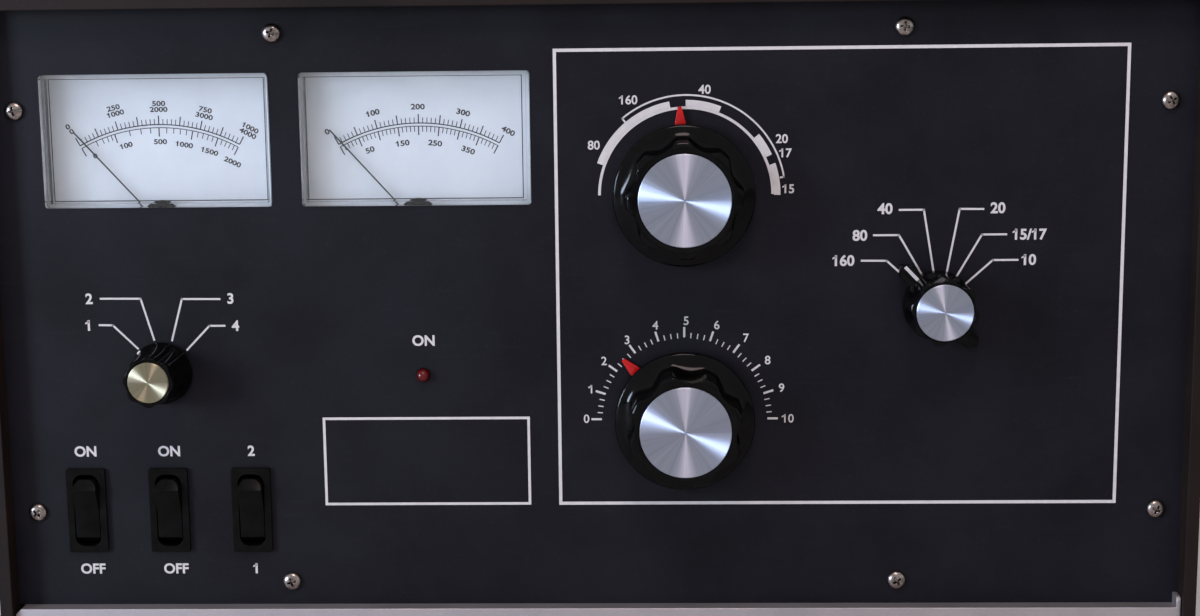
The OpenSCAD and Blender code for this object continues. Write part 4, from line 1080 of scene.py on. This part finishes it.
def flute(bm, radius, depth, count, low, run, turn=0.0):
    """Presses flutes into a turned body above a height, fading in over a short run."""
    cutter = radius * 0.52
    reach = radius - depth + cutter
    step = math.tau / count
    for v in bm.verts:
        r = math.hypot(v.co.x, v.co.y)
        if v.co.z < low or r < radius - depth - 0.4:
            continue
        angle = (math.atan2(v.co.y, v.co.x) - math.pi / 2 - turn) % step - step / 2
        side = reach * math.sin(angle)
        if abs(side) >= cutter:
            continue
        wall = reach * math.cos(angle) - math.sqrt(cutter**2 - side**2)
        wall *= r / radius if r > radius else 1.0
        soft = 0.35
        share = min(1.0, (v.co.z - low) / run)
        near = max(soft - abs(r - wall), 0.0)
        pressed = min(r, wall) - near * near / (4 * soft)
        new = r + (pressed - r) * share
        v.co.x *= new / r
        v.co.y *= new / r


def spun_disc(name, radius, place, body, finish, replaced):
    """A disc with a UV map that runs round it, for the rays of its spun finish."""
    bm = bmesh.new()
    lathe(
        bm,
        [(0, 0), (radius, 0), (radius, 0.75), (radius - 0.25, 1.0)]
        + [(radius * k / 6, 1.0) for k in range(5, -1, -1)],
        72,
    )
    around = bm.loops.layers.uv.new("spun")
    for face in bm.faces:
        middle = face.calc_center_median()
        home = math.atan2(middle.y, middle.x)
        for corner in face.loops:
            co = corner.vert.co
            r = math.hypot(co.x, co.y)
            own = math.atan2(co.y, co.x) if r > 1e-3 else home
            own = home + (own - home + math.pi) % math.tau - math.pi
            corner[around].uv = (own / math.tau, r / radius)
    finish_piece(name, bm, place, body, [finish], [replaced])


class AMPLIFIER_OT_tuning_knobs(bpy.types.Operator):
    """Model the two big fluted knobs and their spun discs"""

    bl_idname = "amplifier.tuning_knobs"
    bl_label = "Tuning knobs"

    def execute(self, context):
        looks = context.scene.amplifier_knobs
        self.knob("plate", "plate_turn", looks, looks.plate_turn)
        self.knob("load", "load_turn", looks, looks.load_turn)
        wear("brass", "plate_knob_shaft", "load_knob_shaft")
        return {"FINISHED"}

    def knob(self, name, joint, looks, turn):
        at = JOINTS[joint]
        back = mm(PANEL_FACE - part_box(name + "_knob")[1].y)
        bm = bmesh.new()
        side = [(20.3, 6.6 + 1.4 * i) for i in range(9)]
        lathe(
            bm,
            [(3.3, 0), (24.2, 0), (24.8, 0.25), (25, 0.8), (25, 2.3), (24.75, 2.8)]
            + [(24.2, 3.1), (22.6, 3.5), (21.2, 4.1), (20.5, 4.9), (20.3, 5.8)]
            + side
            + [(20.3, 19.1), (20.1, 19.75), (19.6, 20.2), (18.9, 20.4), (16.7, 20.4)]
            + [(16.3, 20.2), (16.2, 19.8), (3.3, 19.8), (3.3, 0)],
            192,
        )
        flute(bm, 20.3, mm(looks.flute_depth), looks.flutes, 3.6, 3.0)
        finish_piece(
            name + "_knob_body", bm, facing(at.x, at.z, back, math.degrees(turn)),
            name + "_hand_knob", ["gloss_phenolic"],
            [name + "_knob"],
        )
        front = mm(PANEL_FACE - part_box(name + "_knob_insert")[1].y)
        spun_disc(
            name + "_knob_disc", 16.0, facing(at.x, at.z, front), name + "_hand_knob",
            "spun_aluminium", name + "_knob_insert",
        )


class AMPLIFIER_OT_pointers(bpy.types.Operator):
    """Model the black pointers with their red tips"""

    bl_idname = "amplifier.pointers"
    bl_label = "Pointers"

    def execute(self, context):
        looks = context.scene.amplifier_knobs
        self.pointer("plate", looks.plate_rest)
        self.pointer("load", looks.load_rest)
        return {"FINISHED"}

    def pointer(self, name, rest):
        at = JOINTS[name + "_turn"]
        low, high = 0.8, 1.8
        bm = bmesh.new()
        lathe(
            bm,
            [(3.23, -27.0), (6, -27.0), (6, low), (9, low), (9, high - 0.2)]
            + [(8.8, high), (3.23, high), (3.23, -27.0)],
            64,
        )
        arm = [(-2.4, 6), (2.4, 6), (2.0, 24.4), (-2.0, 24.4)]
        tip = [(-1.98, 24.4), (1.98, 24.4), (1.9, 25.6), (0.65, 31), (-0.65, 31), (-1.9, 25.6)]
        prism(bm, arm, low + 0.02, high - 0.02, 0.2)
        prism(bm, tip, low, high, 0.28, material=1)
        finish_piece(
            name + "_red_pointer", bm, facing(at.x, at.z, 0, math.degrees(rest)),
            name + "_tuning",
            ["satin_black", "red_enamel"], [name + "_pointer"],
        )


class AMPLIFIER_OT_band_knob(bpy.types.Operator):
    """Model the band knob: a fluted body on a pointer bar with a white line"""

    bl_idname = "amplifier.band_knob"
    bl_label = "Band knob"

    def execute(self, context):
        looks = context.scene.amplifier_knobs
        at = JOINTS["band_turn"]
        back = mm(PANEL_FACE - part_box("band_knob")[1].y)
        turn = math.degrees(looks.band_rest)
        bm = bmesh.new()
        side = [(12, 5.4 + 1.3 * i) for i in range(9)]
        lathe(
            bm,
            [(3.3, 0), (12.3, 0), (12.3, 3.2), (12.2, 4.0)]
            + side
            + [(12, 17.3), (11.8, 18.0), (11.3, 18.4), (10.9, 18.5), (10.3, 18.5)]
            + [(10.05, 18.3), (10, 17.9), (3.3, 17.9), (3.3, 0)],
            192,
        )
        flute(bm, 12.0, 1.5, looks.flutes, 4.0, 1.6, math.radians(-7))
        half, reach = 2.8, 20.0
        outline = [
            (-half, -reach + 2), (0, -reach), (half, -reach + 2), (half, reach - 3),
            (0, reach), (-half, reach - 3),
        ]
        prism(bm, outline, 0.02, 4.5, 0.6)
        finish_piece(
            "band_knob_body", bm, facing(at.x, at.z, back, turn), "band_selector",
            ["gloss_phenolic"], ["band_knob"],
        )
        bm = bmesh.new()
        stroke(bm, [(1.0, 10.0), (0.85, 18.6)], 1.15)
        face_front(bm)
        finish_piece(
            "band_knob_line", bm, facing(at.x, at.z, back + 4.54, turn), "band_selector",
            ["legend_ink"],
        )
        front = mm(PANEL_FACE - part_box("band_knob_insert")[1].y)
        spun_disc(
            "band_knob_disc", 9.8, facing(at.x, at.z, front), "band_selector",
            "spun_aluminium", "band_knob_insert",
        )
        wear("brass", "band_shaft")
        return {"FINISHED"}


class AMPLIFIER_OT_meter_knob(bpy.types.Operator):
    """Model the flared meter-switch knob with its white dot"""

    bl_idname = "amplifier.meter_knob"
    bl_label = "Meter-switch knob"

    def execute(self, context):
        looks = context.scene.amplifier_knobs
        at = JOINTS["meter_switch_turn"]
        back = mm(PANEL_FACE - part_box("multimeter_knob")[1].y)
        turn = math.degrees(looks.meter_rest)
        bm = bmesh.new()
        lathe(
            bm,
            [(3.3, 0), (11.0, 0), (11.3, 0.3), (11.3, 1.4), (11.0, 2.2), (10.6, 3.2)]
            + [(10.3, 4.4), (10.05, 5.8), (9.85, 7.4), (9.65, 9.2), (9.5, 11.2)]
            + [(9.4, 13.2), (9.3, 15.2), (9.2, 16.9), (9.0, 17.6), (8.6, 17.95)]
            + [(7.7, 18.0), (7.45, 17.8), (7.4, 17.4), (3.3, 17.4), (3.3, 0)],
            160,
        )
        self.lobes(bm, looks.flutes)
        finish_piece(
            "multimeter_knob_body", bm, facing(at.x, at.z, back, turn), "meter_selector",
            ["gloss_phenolic"], ["multimeter_knob"],
        )
        bm = bmesh.new()
        bmesh.ops.create_uvsphere(
            bm, u_segments=20, v_segments=10, radius=0.85,
            matrix=Matrix.Translation((0, 10.75, 2.9))
            @ Matrix.Rotation(math.radians(-70), 4, "X")
            @ Matrix.Diagonal((1, 1, 0.4, 1)),
        )
        finish_piece(
            "multimeter_knob_dot", bm, facing(at.x, at.z, back, turn), "meter_selector",
            ["legend_ink"],
        )
        front = mm(PANEL_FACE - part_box("multimeter_knob_insert")[1].y)
        spun_disc(
            "multimeter_knob_disc", 7.2, facing(at.x, at.z, front), "meter_selector",
            "warm_spun_aluminium", "multimeter_knob_insert",
        )
        wear("brass", "multimeter_shaft")
        return {"FINISHED"}

    def lobes(self, bm, count):
        """Round lobes, one of them straight up, that fade towards the front."""
        for v in bm.verts:
            r = math.hypot(v.co.x, v.co.y)
            if r < 8.4 or v.co.z <= 0.3:
                continue
            angle = math.atan2(v.co.y, v.co.x) - math.pi / 2
            dip = 1 - math.sqrt(math.cos(angle * count / 2) ** 2 + 0.02)
            share = min(1.0, v.co.z / 2.5) * (1.0 if r > 9.1 else (r - 8.4) / 0.7)
            new = r - 1.4 * max(dip, 0.0) * share
            v.co.x *= new / r
            v.co.y *= new / r


# --- Rockers and lamp -------------------------------------------------------------------


class AMPLIFIER_OT_rockers(bpy.types.Operator):
    """Round the rockers' edges and finish their bezels"""

    bl_idname = "amplifier.rockers"
    bl_label = "Rockers"

    def execute(self, context):
        wear("satin_black", "switch_bodies")
        for key in ("power", "standby", "mode"):
            node = "rocker_" + key
            bm = bmesh.new()
            bm.from_mesh(frame["nodes"][node].data)
            bmesh.ops.remove_doubles(bm, verts=bm.verts, dist=5e-6)
            bmesh.ops.dissolve_limit(
                bm, angle_limit=math.radians(0.5), verts=bm.verts, edges=bm.edges
            )
            sharp = [
                e for e in bm.edges
                if e.is_manifold and e.calc_face_angle(0.0) > math.radians(24)
                and abs(e.verts[0].co.x - e.verts[1].co.x) < 9.2 * MM
            ]
            soften(bm, sharp, 0.45 * MM, 3)
            bmesh.ops.recalc_face_normals(bm, faces=bm.faces)
            finish_piece(
                node + "_button", bm, Matrix.Identity(4), key + "_rocker",
                ["satin_black"], [node],
            )
        return {"FINISHED"}


class AMPLIFIER_OT_lamp(bpy.types.Operator):
    """Model the small red lamp"""

    bl_idname = "amplifier.lamp"
    bl_label = "Lamp"

    def execute(self, context):
        bm = bmesh.new()
        dome = [(2.4 * math.cos(a), 0.7 + 2.4 * math.sin(a))
                for a in (math.radians(d) for d in range(0, 91, 9))]
        dome[-1] = (0, 3.1)
        lathe(bm, [(0, -7), (2.4, -7), (2.4, -5), (3, -5), (3, -4), (2.4, -4)] + dome, 48)
        finish_piece(
            "lamp_lens", bm, on_panel(-60.1, -22.7), "cabinet",
            ["lamp_lens"], ["indicator_lamp"],
        )
        return {"FINISHED"}


# --- Inside and rear --------------------------------------------------------------------


class AMPLIFIER_OT_inside(bpy.types.Operator):
    """Finish the parts inside the cabinet and on its rear"""

    bl_idname = "amplifier.inside"
    bl_label = "Inside and rear"

    WORN = {
        "machined_aluminium": (
            "reduction_drives", "plate_cap_frame", "load_cap_frame",
            "plate_cap_rotor", "load_cap_rotor",
        ),
        "glazed_steatite": ("band_switch", "multimeter_switch", "rf_choke"),
        "copper": ("tank_coil",),
        "tube_ceramic": ("amplifier_tube", "tube_socket"),
        "chimney_sheet": ("tube_chimney",),
        "zinc_steel": ("air_box", "blower_housing", "blower_wheel"),
        "motor_enamel": ("blower_motor",),
        "iron_laminations": ("transformer_core",),
        "wrapped_winding": ("transformer_windings",),
        "blue_sleeve": ("filter_capacitors",),
        "green_board": ("power_board", "control_board"),
        "relay_case": ("antenna_relay",),
        "bright_nickel": ("rear_sockets", "wing_nut"),
        "satin_black": ("fuse_holders", "cord_gland"),
        "brass": ("ground_post",),
    }
    TOPPED = {
        # Node: the finish of its top, and how far that reaches down in millimetres
        "amplifier_tube": ("bright_nickel", 56.5),
        "filter_capacitors": ("machined_aluminium", 0.5),
    }

    def execute(self, context):
        for finish, nodes in self.WORN.items():
            wear(finish, *nodes)
        for node, (finish, down) in self.TOPPED.items():
            mesh = frame["nodes"][node].data
            mesh.materials.append(FINISHES[finish])
            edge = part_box(node)[1].z - down * MM
            for face in mesh.polygons:
                face.material_index = int(face.center.z > edge)
        return {"FINISHED"}


# --- Stage ------------------------------------------------------------------------------


class AMPLIFIER_OT_stage(bpy.types.Operator):
    """Set up the floor, the lights, the background and the camera"""

    bl_idname = "amplifier.stage"
    bl_label = "Stage"

    def execute(self, context):
        looks = context.scene.amplifier_stage
        context.scene.view_settings.view_transform = "Standard"
        self.floor(looks)
        self.room(looks)
        window = self.lamp(
            "window_lamp", (-1.5, -1.25, 0.7), 0.5, looks.window_light, "#e6eeff"
        )
        window.visible_glossy = False
        glint = self.lamp("window_glint", (-1.5, -1.25, 0.34), 0.5, looks.glint, "#d6e6ff")
        glint.visible_diffuse = glint.visible_transmission = False
        self.lamp("ceiling_lamp", (0.04, -0.75, 1.0), 0.36, looks.ceiling_light, "#ffe6e2")
        self.camera()
        return {"FINISHED"}

    def floor(self, looks):
        bm = bmesh.new()
        bmesh.ops.create_grid(bm, x_segments=1, y_segments=1, size=6.0)
        floor = add_object("floor", drawn("floor", bm))
        finish, tree, _ = start_finish("pale_floor")
        end_finish(tree, {"Base Color": tuple(looks.floor_colour), "Roughness": 0.8})
        floor.data.materials.append(finish)

    def room(self, looks):
        """White to the eye and in reflections, dimmer as a light."""
        world = bpy.data.worlds.new("room")
        bpy.context.scene.world = world
        world.use_nodes = True
        tree = world.node_tree
        tree.nodes.clear()
        dim = add_node(
            tree,
            "ShaderNodeBackground",
            {"Color": linear("#f4f6fa"), "Strength": looks.room_light},
        )
        white = add_node(
            tree, "ShaderNodeBackground", {"Color": (1, 1, 1, 1), "Strength": 1.0}
        )
        ray = add_node(tree, "ShaderNodeLightPath").outputs
        seen = ray["Is Camera Ray"]
        for other in ("Is Glossy Ray", "Is Transmission Ray"):
            inputs = {0: seen, 1: ray[other]}
            seen = add_node(tree, "ShaderNodeMath", inputs, operation="MAXIMUM").outputs[0]
        mixed = add_node(
            tree, "ShaderNodeMixShader", {0: seen, 1: dim.outputs[0], 2: white.outputs[0]}
        )
        add_node(tree, "ShaderNodeOutputWorld", {"Surface": mixed.outputs[0]})

    def lamp(self, name, place, size, power, colour):
        data = bpy.data.lights.new(name, "AREA")
        data.shape = "DISK"
        data.size = size
        data.energy = power
        data.color = linear(colour)[:3]
        lamp = add_object(name, data)
        lamp.location = place
        aim = Vector((0, PANEL_FACE, PANEL_MIDDLE)) - Vector(place)
        lamp.rotation_euler = aim.to_track_quat("-Z", "Y").to_euler()
        lamp.visible_camera = False
        return lamp

    def camera(self):
        """Stands where the photograph was taken from."""
        rx, ry, rz = 0.1578, 0.0287, -0.0064  # Radians
        turn = (
            Matrix.Rotation(rz, 3, "Z") @ Matrix.Rotation(ry, 3, "Y") @ Matrix.Rotation(rx, 3, "X")
        )
        right, down, ahead = (Vector((row[0], row[2], -row[1])) for row in turn)
        data = bpy.data.cameras.new("camera")
        data.sensor_fit = "HORIZONTAL"
        data.sensor_width = 36.0
        data.lens = 54.99
        data.clip_start = 0.01
        camera = add_object("camera", data)
        camera.matrix_world = Matrix.Translation(
            (0.0224, PANEL_FACE - 0.6444, PANEL_MIDDLE + 0.1038)
        ) @ Matrix((right, -down, -ahead)).transposed().to_4x4()
        bpy.context.scene.camera = camera


# --- Add-on -----------------------------------------------------------------------------


class AMPLIFIER_PT_panel(bpy.types.Panel):
    """Lists the pieces of the amplifier and their settings"""

    bl_idname = "AMPLIFIER_PT_panel"
    bl_label = "Amplifier"
    bl_space_type = "VIEW_3D"
    bl_region_type = "UI"
    bl_category = "Amplifier"

    def draw(self, context):
        layout = self.layout
        for step in STEPS:
            layout.operator(step.bl_idname)
        for group in (
            context.scene.amplifier_print,
            context.scene.amplifier_knobs,
            context.scene.amplifier_stage,
        ):
            column = layout.column()
            for key in group.__annotations__:
                column.prop(group, key)


STEPS = (
    AMPLIFIER_OT_stage,
    AMPLIFIER_OT_cabinet,
    AMPLIFIER_OT_legends,
    AMPLIFIER_OT_panel_screws,
    AMPLIFIER_OT_meters,
    AMPLIFIER_OT_tuning_knobs,
    AMPLIFIER_OT_pointers,
    AMPLIFIER_OT_band_knob,
    AMPLIFIER_OT_meter_knob,
    AMPLIFIER_OT_rockers,
    AMPLIFIER_OT_lamp,
    AMPLIFIER_OT_inside,
)
GROUPS = (AmplifierPrintSettings, AmplifierKnobSettings, AmplifierStageSettings)


def register():
    for cls in GROUPS + STEPS + (AMPLIFIER_PT_panel,):
        bpy.utils.register_class(cls)
    bpy.types.Scene.amplifier_print = PointerProperty(type=AmplifierPrintSettings)
    bpy.types.Scene.amplifier_knobs = PointerProperty(type=AmplifierKnobSettings)
    bpy.types.Scene.amplifier_stage = PointerProperty(type=AmplifierStageSettings)


def unregister():
    del bpy.types.Scene.amplifier_stage
    del bpy.types.Scene.amplifier_knobs
    del bpy.types.Scene.amplifier_print
    for cls in reversed(GROUPS + STEPS + (AMPLIFIER_PT_panel,)):
        bpy.utils.unregister_class(cls)


def main():
    register()
    FINISHES.update(make_finishes())
    bpy.ops.amplifier.stage()
    bpy.ops.amplifier.cabinet()
    bpy.ops.amplifier.legends()
    bpy.ops.amplifier.panel_screws()
    bpy.ops.amplifier.meters()
    bpy.ops.amplifier.tuning_knobs()
    bpy.ops.amplifier.pointers()
    bpy.ops.amplifier.band_knob()
    bpy.ops.amplifier.meter_knob()
    bpy.ops.amplifier.rockers()
    bpy.ops.amplifier.lamp()
    bpy.ops.amplifier.inside()
    bpy.context.view_layer.update()


if __name__ == "__main__":
    main()
